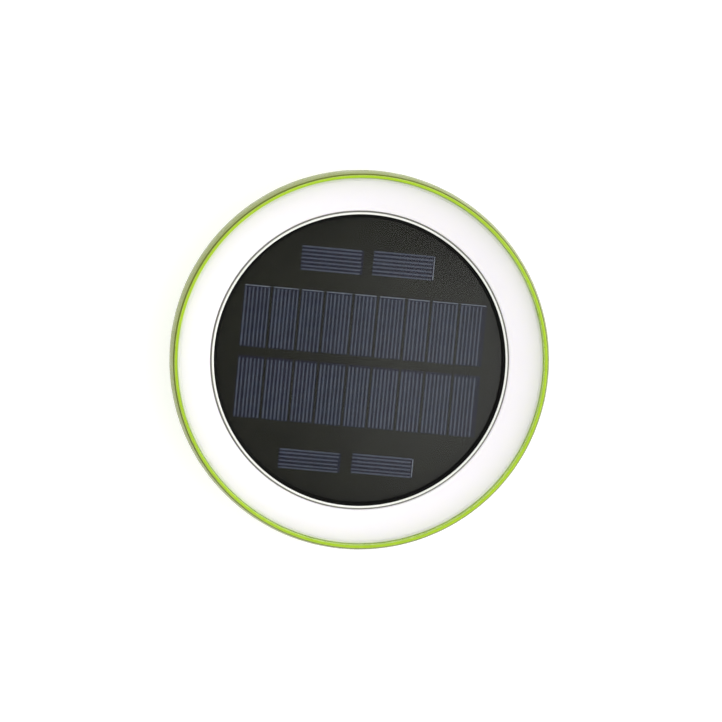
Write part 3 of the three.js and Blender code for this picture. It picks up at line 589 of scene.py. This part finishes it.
def make_floor():
    """The floor plate in the foot, with its openings and the two lugs for the hanging ring."""
    _, outer, _, high = ring_size("hull_floor")
    lip_inner = FLOOR_R - FLOOR_LIP_WIDTH
    outline = [
        (0, FLOOR_Z),
        (FLOOR_R - FLOOR_CHAMFER, FLOOR_Z),
        (FLOOR_R, FLOOR_Z + FLOOR_CHAMFER),
        (FLOOR_R, FLOOR_TOP_Z),
        (outer, FLOOR_TOP_Z),
        (outer, high),
        (lip_inner, high),
        (lip_inner, FLOOR_TOP_Z),
        (0, FLOOR_TOP_Z),
    ]
    plate = lathe("hull_floor_plate", outline, steps=160)
    open_floor(plate)
    for side in (-1, 1):
        combine(plate, lug(side), "UNION")
    stand_in(dress(plate, "lime_shell", "hull"), BODY, "hull_floor")


def open_floor(plate):
    """Cuts the battery bay, the button's hole and the screw holes."""
    cuts = bmesh.new()
    low, high = FLOOR_Z - CUT, FLOOR_TOP_Z + CUT
    bay = rectangle(0, middle("battery_cell").y, BAY_HALF_LENGTH, BAY_HALF_WIDTH, BAY_CORNER)
    add_slab(cuts, bay, low, high)
    button = middle("mode_button")
    add_slab(cuts, circle(button.x, button.y, BUTTON_HOLE_R, 64), low, high)
    for place in screw_places():
        add_slab(cuts, circle(place.x, place.y, SCREW_HOLE_R, 32), low, high)
    combine(plate, object_from(cuts, "floor_openings"), "DIFFERENCE")


def lug(side):
    """One of the hanging ring's two lugs, with the hole that the ring's end turns in."""
    hinge = hinge_place()
    x = hinge.x + side * LUG_X
    root_z = FLOOR_Z + LUG_ROOT
    profile = rounded_outline([
        (hinge.y - LUG_HALF_DEPTH, root_z, 0),
        (hinge.y - LUG_HALF_DEPTH, LUG_BOTTOM_Z, LUG_ROUND),
        (hinge.y + LUG_HALF_DEPTH, LUG_BOTTOM_Z, LUG_ROUND),
        (hinge.y + LUG_HALF_DEPTH, root_z, 0),
    ], 10)
    body = bmesh.new()
    add_slab(body, profile, x - LUG_HALF_WIDTH, x + LUG_HALF_WIDTH)
    lay_along_x(body)
    piece = object_from(body, "lug")
    hole = bmesh.new()
    reach = LUG_HALF_WIDTH + CUT
    add_slab(hole, circle(hinge.y, hinge.z, LUG_HOLE_R, 32), x - reach, x + reach)
    lay_along_x(hole)
    combine(piece, object_from(hole, "lug_hole"), "DIFFERENCE")
    return piece


# ------------------------------------------------------------------ rim and light ring

RIM_LIP_REACH, RIM_LIP_HEIGHT = 0.8 * MM, 0.75 * MM  # the lip that caps the bowl's edge
RIM_WALL, RIM_TOP_WALL = 0.7 * MM, 0.5 * MM  # the liner's thickness low down and at its top
RIM_TAPER_HEIGHT = 5.5 * MM  # above the rim's foot, where the liner starts to thin
RIM_SHELF = 2 * MM
SEAL_LIP = 0.22 * MM  # how far the rim's seal laps over the light ring
DIFFUSER_FILLET = 2.5 * MM
DIFFUSER_FILLET_HEIGHT = 1.4 * MM  # from the light ring's foot to the middle of that fillet
DIFFUSER_EDGE = 0.2 * MM
DIFFUSER_UNDER = (81.9 * MM, 49 * MM)  # a point of the light ring's hollow underside
DIFFUSER_SKIRT_R, DIFFUSER_SKIRT_Z = 86.2 * MM, 50 * MM
CROWN_Z = 53 * MM  # the light ring's height at its outer edge
CROWN_KNEE = (82 * MM, 52 * MM)
CROWN_END = (76.9 * MM, 49.28 * MM)


def make_rim():
    """The bright liner in the bowl's mouth, with an inner shelf and a lip over the bowl's edge."""
    inner, outer, low, high = ring_size("upper_rim")
    shelf_top = low + RIM_SHELF
    lip_r, lip_low = outer + RIM_LIP_REACH, high - RIM_LIP_HEIGHT
    wall_r = outer - RIM_WALL
    outline = rounded_outline([
        (inner, low, 0.2 * MM),
        (outer, low, 0.3 * MM),
        (outer, lip_low, 0.1 * MM),
        (lip_r, lip_low, 0.3 * MM),
        (lip_r, high, 0.4 * MM),
        (outer - RIM_TOP_WALL, high, 0.28 * MM),
        (wall_r, low + RIM_TAPER_HEIGHT, 2 * MM),
        (wall_r, shelf_top, 0.2 * MM),
        (inner, shelf_top, 0.2 * MM),
    ], 8)
    stand_in(dress(lathe("rim_band", outline), "lime_rim", "rim"), BODY, "upper_rim")


def make_rim_seal():
    """The thin white line between the rim and the light ring."""
    inner, outer, low, high = ring_size("rim_seal")
    lip_r = inner - SEAL_LIP
    outline = rounded_outline([
        (lip_r, low, 0.1 * MM),
        (outer, low, 0.1 * MM),
        (outer, high, 0.2 * MM),
        (lip_r, high, 0.2 * MM),
    ], 6)
    stand_in(dress(lathe("rim_gasket", outline), "white_silicone", "silicone"), BODY, "rim_seal")


def make_diffuser():
    """The frosted ring: a crown that falls to a round inner edge, and a hollow underside."""
    inner, outer, low, high = ring_size("diffuser_ring")
    edge_r = outer - DIFFUSER_EDGE
    hub_r, hub_z = inner + DIFFUSER_FILLET, low + DIFFUSER_FILLET_HEIGHT
    outline = [(DIFFUSER_SKIRT_R, DIFFUSER_SKIRT_Z), (outer, DIFFUSER_SKIRT_Z)]
    outline += arc_points(edge_r, high - DIFFUSER_EDGE, DIFFUSER_EDGE, DIFFUSER_EDGE, 0, 90, 5)
    outline += curve_points((edge_r, CROWN_Z), CROWN_KNEE, CROWN_END, 14)
    outline += arc_points(hub_r, hub_z, DIFFUSER_FILLET, DIFFUSER_FILLET, 100, 180, 14)
    outline += [(inner, low), (hub_r - 0.3 * MM, low), (hub_r + 0.4 * MM, hub_z + 0.3 * MM), DIFFUSER_UNDER]
    stand_in(dress(lathe("light_ring", outline), "frosted_diffuser", "diffuser"), BODY, "diffuser_ring")


# ------------------------------------------------------------------ solar panel

COLLAR_OUTER_R, COLLAR_INNER_R = 74 * MM, 73 * MM
FLANGE_TOP_Z = 45.4 * MM
FLANGE_THICKNESS = 1.6 * MM
TUB_FLOOR = 2 * MM
GASKET_CROWN = 0.35 * MM  # the height of the grey seal's round top
BEZEL_WALL = 0.9 * MM
BEZEL_LIP_Z, BEZEL_LIP_TOP_Z = 44.1 * MM, 44.9 * MM


def make_carrier():
    """The tub under the panel, whose top shows as the white collar, with a flange round it."""
    hole, outer, low, high = ring_size("panel_carrier")
    flange_low = FLANGE_TOP_Z - FLANGE_THICKNESS
    outline = rounded_outline([
        (hole, low, 0.3 * MM),
        (COLLAR_OUTER_R, low, 0.6 * MM),
        (COLLAR_OUTER_R, flange_low, 0.2 * MM),
        (outer, flange_low, 0.2 * MM),
        (outer, FLANGE_TOP_Z, 0.2 * MM),
        (COLLAR_OUTER_R, FLANGE_TOP_Z, 0.2 * MM),
        (COLLAR_OUTER_R, high, 0.45 * MM),
        (COLLAR_INNER_R, high, 0.45 * MM),
        (COLLAR_INNER_R, low + TUB_FLOOR, 0.2 * MM),
        (hole, low + TUB_FLOOR, 0.3 * MM),
    ], 6)
    stand_in(dress(lathe("panel_tub", outline), "white_plastic", "white"), BODY, "panel_carrier")


def make_carrier_seal():
    """The grey seal in the groove between the light ring and the collar."""
    inner, outer, low, high = ring_size("carrier_seal")
    half = (outer - inner) / 2
    outline = [(inner, low), (outer, low)]
    outline += arc_points(inner + half, high - GASKET_CROWN, half, GASKET_CROWN, 0, 180, 10)
    stand_in(dress(lathe("panel_gasket", outline), "grey_rubber", "grey_rubber"), BODY, "carrier_seal")


def make_bezel():
    """The black trim round the panel, with a lip over the window's edge."""
    lip_r, outer, low, high = ring_size("panel_bezel")
    inner = outer - BEZEL_WALL
    outline = rounded_outline([
        (inner, low, 0.1 * MM),
        (outer, low, 0.1 * MM),
        (outer, high, 0.3 * MM),
        (inner, high, 0.35 * MM),
        (inner, BEZEL_LIP_TOP_Z, 0.2 * MM),
        (lip_r, BEZEL_LIP_TOP_Z, 0.3 * MM),
        (lip_r, BEZEL_LIP_Z, 0.1 * MM),
        (inner, BEZEL_LIP_Z, 0.05 * MM),
    ], 6)
    stand_in(dress(lathe("panel_trim", outline), "black_plastic", "black"), BODY, "panel_bezel")


def disc(name, node, low_fillet, high_fillet, steps):
    """A round plate in a CAD disc's place, with rounded edges."""
    _, outer, low, high = ring_size(node)
    outline = [(0, low, 0), (outer, low, low_fillet), (outer, high, high_fillet), (0, high, 0)]
    return lathe(name, rounded_outline(outline, steps))


def make_board():
    """The black board that carries the cells."""
    board = disc("panel_board_disc", "panel_board", 0.1 * MM, 0.1 * MM, 3)
    stand_in(dress(board, "panel_board_black", "panel_board"), BODY, "panel_board")


def make_window():
    """The clear cover over the cells."""
    pane = disc("window_pane", "panel_window", 0.15 * MM, 0.3 * MM, 6)
    stand_in(dress(pane, "clear_window", "window"), BODY, "panel_window")


# ------------------------------------------------------------------ solar cells

RAGGED = 0.35 * MM  # how far the two corners of a wafer's cut end may be short
FINGER_PITCH = 1.94 * MM
FINGER_WIDTH = 0.8 * MM
FINGER_HEIGHT = 0.02 * MM
FINGER_MARGIN = 0.75 * MM  # from a standing wafer's side to the middle of its last finger
FINGER_STRAY = 0.08 * MM
TAB_WIDTH = 0.4 * MM
TAB_INSET = 0.3 * MM
WAFER, FINGER, TAB = range(3)  # a cell's materials, in the order that dress gives them


def add_fingers(bm, dice, count, first, half_l, half_w, short, low, high):
    """Adds count printed lines along a wafer, each a little off its place and its length."""
    for k in range(count):
        across = first + k * FINGER_PITCH + dice.uniform(-FINGER_STRAY, FINGER_STRAY)
        half = FINGER_WIDTH / 2 * dice.uniform(0.85, 1.1)
        across = max(-half_w + half, min(half_w - half, across))
        start = -half_l + short + dice.uniform(0.1, 0.4) * MM
        end = half_l - dice.uniform(0.9, 1.3) * MM
        line = rounded_outline([
            (start, across - half, half * 0.8),
            (end, across - half, half * 0.8),
            (end, across + half, half * 0.8),
            (start, across + half, half * 0.8),
        ], 3)
        add_slab(bm, line, low, high, FINGER)


def make_cell(node, dice):
    """A wafer with printed fingers along its length and, where its far end shows one, a tinned tab."""
    low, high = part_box(node)
    size = high - low
    upright = size.y > size.x
    length, width = (size.y, size.x) if upright else (size.x, size.y)
    half_l, half_w = length / 2, width / 2
    top = high.z - FINGER_HEIGHT
    ragged = [dice.uniform(0, RAGGED) for _ in range(2)]
    corners = [(-half_l + ragged[0], -half_w), (half_l, -half_w),
               (half_l, half_w), (-half_l + ragged[1], half_w)]
    bm = bmesh.new()
    add_slab(bm, corners, low.z, top, WAFER)
    count = int(width / FINGER_PITCH) + (0 if node.endswith("_9") else 1)
    fingers_width = FINGER_PITCH * (count - 1)
    first = half_w - fingers_width - FINGER_MARGIN if upright else -fingers_width / 2
    add_fingers(bm, dice, count, first, half_l, half_w, ragged[0], top, high.z)
    if "upper" in node or "right" in node:
        tab = rectangle(half_l - TAB_WIDTH, 0, TAB_WIDTH / 2, half_w - TAB_INSET, 0.1 * MM)
        add_slab(bm, tab, top, high.z, TAB)
    place = (low + high) / 2
    for vertex in bm.verts:
        along, across, z = vertex.co
        vertex.co = (place.x - across, place.y + along, z) if upright else (
            place.x + along, place.y + across, z)
    piece = object_from(bm, node.replace("solar_cell", "wafer"))
    stand_in(dress(piece, "solar_cell", "silicon", "finger", "tab"), BODY, node)


def make_cells():
    """All the cells, in the order of their names, from one seeded run of chances."""
    dice = random.Random(7)
    for node in sorted(n for n in frame["nodes"] if n.startswith("solar_cell")):
        make_cell(node, dice)


# ------------------------------------------------------------------ battery cover and screws

COVER_CORNER = 6 * MM
COVER_ROUND = 0.5 * MM
HEAD_SEAT_R, HEAD_SEAT_DEPTH = 3.2 * MM, 1.4 * MM
GRIP_COUNT = 7
GRIP_PITCH = 5 * MM
GRIP_HALF_WIDTH, GRIP_HALF_LENGTH = 1 * MM, 11 * MM
GRIP_CORNER = 0.9 * MM
GRIP_DEPTH = 0.5 * MM
HEAD_R, HEAD_HEIGHT = 2.6 * MM, 1.3 * MM
HEAD_ROUND, HEAD_CROWN = 0.7 * MM, 0.75 * MM  # the head's rounding, across and along the screw
SHANK_R = 1.35 * MM
THREAD_START = 1.6 * MM
THREAD_STEP, THREAD_DEPTH = 0.25 * MM, 0.22 * MM
POINT_LENGTH, POINT_R = 1.2 * MM, 0.3 * MM
CROSS_HALF_LENGTH, CROSS_HALF_WIDTH = 1.5 * MM, 0.32 * MM
CROSS_DEPTH = 0.7 * MM


def make_cover():
    """The battery cover, with sunk seats for four screws and a row of grip grooves."""
    low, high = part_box("battery_cover")
    centre = (low + high) / 2
    half = (high - low) / 2
    bm = bmesh.new()
    add_slab(bm, rectangle(centre.x, centre.y, half.x, half.y, COVER_CORNER), low.z, high.z)
    cover = object_from(bm, "battery_door")
    round_edges(cover, COVER_ROUND, 3, 60)
    cuts = bmesh.new()
    seat_z = low.z + HEAD_SEAT_DEPTH
    for place in screw_places():
        add_slab(cuts, circle(place.x, place.y, HEAD_SEAT_R, 40), low.z - CUT, seat_z)
        add_slab(cuts, circle(place.x, place.y, SCREW_HOLE_R, 32), seat_z - LAP, high.z + CUT)
    for k in range(GRIP_COUNT):
        x = centre.x + (k - (GRIP_COUNT - 1) / 2) * GRIP_PITCH
        groove = rectangle(x, centre.y, GRIP_HALF_WIDTH, GRIP_HALF_LENGTH, GRIP_CORNER)
        add_slab(cuts, groove, low.z - CUT, low.z + GRIP_DEPTH)
    combine(cover, object_from(cuts, "cover_cuts"), "DIFFERENCE")
    stand_in(dress(cover, "lime_shell", "hull"), BODY, "battery_cover")


def make_screw(node, name, head_down):
    """A pan head screw with a cross recess and a threaded shank."""
    low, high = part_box(node)
    length = high.z - low.z
    outline = [(0, 0)]
    outline += arc_points(HEAD_R - HEAD_ROUND, HEAD_CROWN, HEAD_ROUND, HEAD_CROWN, -90, 0, 6)
    outline += [(HEAD_R, HEAD_HEIGHT), (SHANK_R, HEAD_HEIGHT)]
    z = THREAD_START
    ridge = False
    while z < length - POINT_LENGTH:
        outline.append((SHANK_R if ridge else SHANK_R - THREAD_DEPTH, z))
        z += THREAD_STEP
        ridge = not ridge
    outline += [(POINT_R, length), (0, length)]
    screw = lathe(name, outline, steps=40)
    arm = (CROSS_HALF_LENGTH, CROSS_HALF_WIDTH)
    for half_x, half_y in (arm, arm[::-1]):
        cut = bmesh.new()
        add_slab(cut, rectangle(0, 0, half_x, half_y, 0.1 * MM), -CUT, CROSS_DEPTH)
        combine(screw, object_from(cut, "slot"), "DIFFERENCE")
    if not head_down:
        screw.data.transform(Matrix.Rotation(math.pi, 4, "X"))
    place = middle(node)
    screw.data.transform(Matrix.Translation((place.x, place.y, low.z if head_down else high.z)))
    stand_in(dress(screw, "plated_steel", "steel"), BODY, node)


# ------------------------------------------------------------------ button and hanging ring

BUTTON_R = 5.6 * MM
BUTTON_ROUND = 1 * MM
BUTTON_FLANGE_HEIGHT = 4.9 * MM  # from the button's face to its flange
BUTTON_FLANGE_THICKNESS = 1 * MM
BUTTON_DISH = [(0, 0.35 * MM), (2.4 * MM, 0.25 * MM), (3.6 * MM, 0.05 * MM)]  # the hollow in its face
STEM_R = 2.2 * MM
STEM_CHAMFER = 0.3 * MM
RING_HALF_WIDTH = 9 * MM
RING_BEND_WIDTH, RING_BEND = 1.6 * MM, 1.8 * MM
RING_LEG_Y = -6 * MM


def make_button():
    """The button: a dished cap, a flange that keeps it in its hole, and a stem."""
    low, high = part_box("mode_button")
    place = (low + high) / 2
    flange_r = (high.x - low.x) / 2
    flange_z = low.z + BUTTON_FLANGE_HEIGHT
    flange_top_z = flange_z + BUTTON_FLANGE_THICKNESS
    outline = [(r, low.z + z) for r, z in BUTTON_DISH]
    outline += arc_points(BUTTON_R - BUTTON_ROUND, low.z + BUTTON_ROUND, BUTTON_ROUND, BUTTON_ROUND,
                          -80, 0, 8)
    outline += [
        (BUTTON_R, flange_z),
        (flange_r, flange_z),
        (flange_r, flange_top_z),
        (STEM_R, flange_top_z),
        (STEM_R, high.z - STEM_CHAMFER),
        (STEM_R - STEM_CHAMFER, high.z),
        (0, high.z),
    ]
    button = lathe("mode_button_cap", outline, (place.x, place.y), 96)
    stand_in(dress(button, "white_plastic", "white"), "mode_button", "mode_button")


def make_ring():
    """The hanging ring: a bent wire with two ends on the hinge's axis, two legs and a round end."""
    low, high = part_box("hanging_ring")
    hinge = hinge_place()
    wire_r = (high.z - low.z) / 2
    end_x = (high.x - low.x) / 2
    arch_y = low.y + RING_HALF_WIDTH + wire_r - hinge.y
    side = [
        (end_x, 0, 0),
        (RING_HALF_WIDTH + RING_BEND_WIDTH, 0, 0),
        (RING_HALF_WIDTH, -RING_BEND, 0),
        (RING_HALF_WIDTH, RING_LEG_Y, 0),
    ]
    arch = [(x, y, 0) for x, y in arc_points(0, arch_y, RING_HALF_WIDTH, RING_HALF_WIDTH, 180, 360, 12)]
    points = [(-x, y, z) for x, y, z in side] + arch + side[::-1]
    path = [point + hinge for point in smooth_path(points, 6)]
    ring = tube("hanging_ring_wire", path, wire_r, 16)
    stand_in(dress(ring, "plated_steel", "steel"), "hanging_ring", "hanging_ring")


# ------------------------------------------------------------------ inner parts

INNER_SHARP_ANGLE = math.radians(30)
INNER_MATERIALS = {  # the record's material slots of CAD parts that stay as they are
    "circuit_board": "board",
    "led_package": "led",
    "battery_wrap": "wrap",
    "grey_cable": "grey",
    "red_wire": "red",
    "black_wire": "wire_black",
    "plated_steel": "steel",
    "white_plastic": "white",
    "black_rubber": "rubber",
    "black_plastic": "black",
}


def dress_inner_parts():
    """Materials for the CAD parts that stay as they are."""
    slots = {part["node"]: part["material_slot"] for part in frame["record"]["subparts"]}
    for node, cad in frame["nodes"].items():
        name = INNER_MATERIALS.get(slots[node])
        if name is None:
            continue
        cad.data.materials.clear()
        cad.data.materials.append(MATERIALS[name])
        cad.data.shade_smooth()
        cad.data.set_sharp_from_angle(angle=INNER_SHARP_ANGLE)


# ------------------------------------------------------------------ studio

IMAGE_TURN = math.radians(5.4)  # how far the picture's right is turned from +X towards +Y
FLOOR_SIZE = 6.0
FLOOR_DEPTH = 0.02
FLOOR_GLOW = 0.28
PATCH_START, PATCH_END = 8, 16  # degrees from straight up where the dark patch fades out
OVERHEAD_GLOW = 0.06  # the dark patch over the light, which leaves the glossy panel black
CEILING_GLOW = 0.8
WALL_GLOW = 1.2
WALL_RIGHT = 0.6  # how much brighter the walls are to the right
WALL_UP = 0.3  # and towards the picture's top
WALL_GAP = 0.6  # how much darker they are straight above and below in the picture
CARD_RADIANCE = 0.5
CARD_HEIGHT = 1.5
CARD_X = (0.09, 0.4)  # the card's left and right sides as the camera sees them
CARD_Y = (-0.2, -0.02)  # and its lower and upper ones
LIGHT_SHARE = 0.5266  # the share of the picture's width that the light takes
CAMERA_ELEVATION = math.radians(84.5)
CAMERA_DISTANCE = 3.0
CAMERA_SIDE = (-0.682, 0.731)  # which way the camera is off straight above, right and up in the picture
TARGET_Z = 0.044
SENSOR_WIDTH = 36
SHIFT = (0.0022, -0.0016)


def image_direction(right, up):
    """A horizontal direction given as the camera sees it, right and up."""
    turn = Matrix.Rotation(IMAGE_TURN, 2)
    flat = turn @ Vector((right, up))
    return Vector((flat.x, flat.y, 0))


def make_floor_plane():
    """The pale ground that the light stands on."""
    bm = bmesh.new()
    add_slab(bm, circle(0, 0, FLOOR_SIZE, 96), -FLOOR_DEPTH, 0.0)
    ground = object_from(bm, "studio_floor")
    material, tree, shader, place = start_material("pale_floor")
    mottle = noise(tree, place, scale=3, detail=2)
    two_tone(tree, mottle, (0.93, 0.93, 0.93), (0.96, 0.96, 0.96), shader.inputs["Base Color"])
    shader.inputs["Roughness"].default_value = 0.9
    shader.inputs["Specular IOR Level"].default_value = 0.1
    let_glow(shader, FLOOR_GLOW)
    ground.data.materials.append(material)


def hang_card():
    """A soft lit panel over the light, which the solar panel's lower right mirrors."""
    data = bpy.data.lights.new("panel_card", "AREA")
    data.shape = "RECTANGLE"
    data.size = CARD_X[1] - CARD_X[0]
    data.size_y = CARD_Y[1] - CARD_Y[0]
    data.energy = CARD_RADIANCE * math.pi * data.size * data.size_y
    light = bpy.data.objects.new("panel_card", data)
    light.location = image_direction(sum(CARD_X) / 2, sum(CARD_Y) / 2) + Vector((0, 0, CARD_HEIGHT))
    light.rotation_euler = (0, 0, IMAGE_TURN)
    bpy.context.scene.collection.objects.link(light)


def calculate(tree, operation, first, second):
    """A math node; each of its two values is a number or another node's output."""
    node = tree.nodes.new("ShaderNodeMath")
    node.operation = operation
    for socket, value in zip(node.inputs, (first, second)):
        if isinstance(value, (int, float)):
            socket.default_value = value
        else:
            tree.links.new(value, socket)
    return node.outputs["Value"]


def make_studio_walls():
    """Glowing walls, brightest on the right, under a ceiling with a dark patch where the camera hangs."""
    world = bpy.data.worlds.new("studio")
    world.use_nodes = True
    tree = world.node_tree
    coordinates = tree.nodes.new("ShaderNodeTexCoord")
    turned = tree.nodes.new("ShaderNodeMapping")
    turned.inputs["Rotation"].default_value = (0, 0, -IMAGE_TURN)
    tree.links.new(coordinates.outputs["Generated"], turned.inputs["Vector"])
    direction = tree.nodes.new("ShaderNodeSeparateXYZ")
    tree.links.new(turned.outputs["Vector"], direction.inputs["Vector"])
    x, y, z = (direction.outputs[axis] for axis in "XYZ")
    lowness = calculate(tree, "SUBTRACT", 1.0, calculate(tree, "MULTIPLY", z, z))
    ceiling = tree.nodes.new("ShaderNodeMapRange")
    ceiling.interpolation_type = "SMOOTHSTEP"
    ceiling.inputs["From Min"].default_value = math.sin(math.radians(PATCH_START)) ** 2
    ceiling.inputs["From Max"].default_value = math.sin(math.radians(PATCH_END)) ** 2
    ceiling.inputs["To Min"].default_value = OVERHEAD_GLOW
    ceiling.inputs["To Max"].default_value = CEILING_GLOW
    tree.links.new(lowness, ceiling.inputs["Value"])
    toward_right = calculate(tree, "ADD", 1.0, calculate(tree, "MULTIPLY", x, WALL_RIGHT))
    toward_both = calculate(tree, "ADD", toward_right, calculate(tree, "MULTIPLY", y, WALL_UP))
    gap = calculate(tree, "MULTIPLY", calculate(tree, "MULTIPLY", y, y), WALL_GAP)
    sideness = calculate(tree, "SUBTRACT", 1.0, gap)
    wall = calculate(tree, "MULTIPLY", calculate(tree, "MULTIPLY", lowness, toward_both), sideness)
    wall_glow = calculate(tree, "MULTIPLY", wall, WALL_GLOW)
    back = tree.nodes["Background"]
    back.inputs["Color"].default_value = (1, 1, 1, 1)
    tree.links.new(calculate(tree, "ADD", ceiling.outputs["Result"], wall_glow), back.inputs["Strength"])
    bpy.context.scene.world = world


def make_camera():
    """A long lens almost straight above the light."""
    data = bpy.data.cameras.new("camera")
    camera = bpy.data.objects.new("camera", data)
    bpy.context.scene.collection.objects.link(camera)
    toward = image_direction(*CAMERA_SIDE).normalized()
    back = toward * math.cos(CAMERA_ELEVATION) + Vector((0, 0, math.sin(CAMERA_ELEVATION)))
    camera.location = Vector((0, 0, TARGET_Z)) + back * CAMERA_DISTANCE
    right = image_direction(0, 1).cross(back).normalized()
    up = back.cross(right)
    camera.rotation_euler = Matrix((right, up, back)).transposed().to_euler()
    light_width = cad_high.x - cad_low.x
    data.sensor_width = SENSOR_WIDTH
    data.lens = SENSOR_WIDTH * LIGHT_SHARE * CAMERA_DISTANCE / light_width
    data.shift_x, data.shift_y = SHIFT
    data.clip_start = 0.01
    bpy.context.scene.camera = camera


# ------------------------------------------------------------------ assembly

make_hull()
make_floor()
make_rim()
make_rim_seal()
make_diffuser()
make_carrier()
make_carrier_seal()
make_bezel()
make_board()
make_cells()
make_window()
make_cover()
for number in range(1, 5):
    make_screw(f"cover_screw_{number}", f"door_screw_{number}", True)
for number in range(1, 3):
    make_screw(f"board_screw_{number}", f"circuit_screw_{number}", False)
make_button()
make_ring()
dress_inner_parts()
make_floor_plane()
make_studio_walls()
hang_card()
make_camera()
bpy.context.scene.view_settings.view_transform = "Standard"
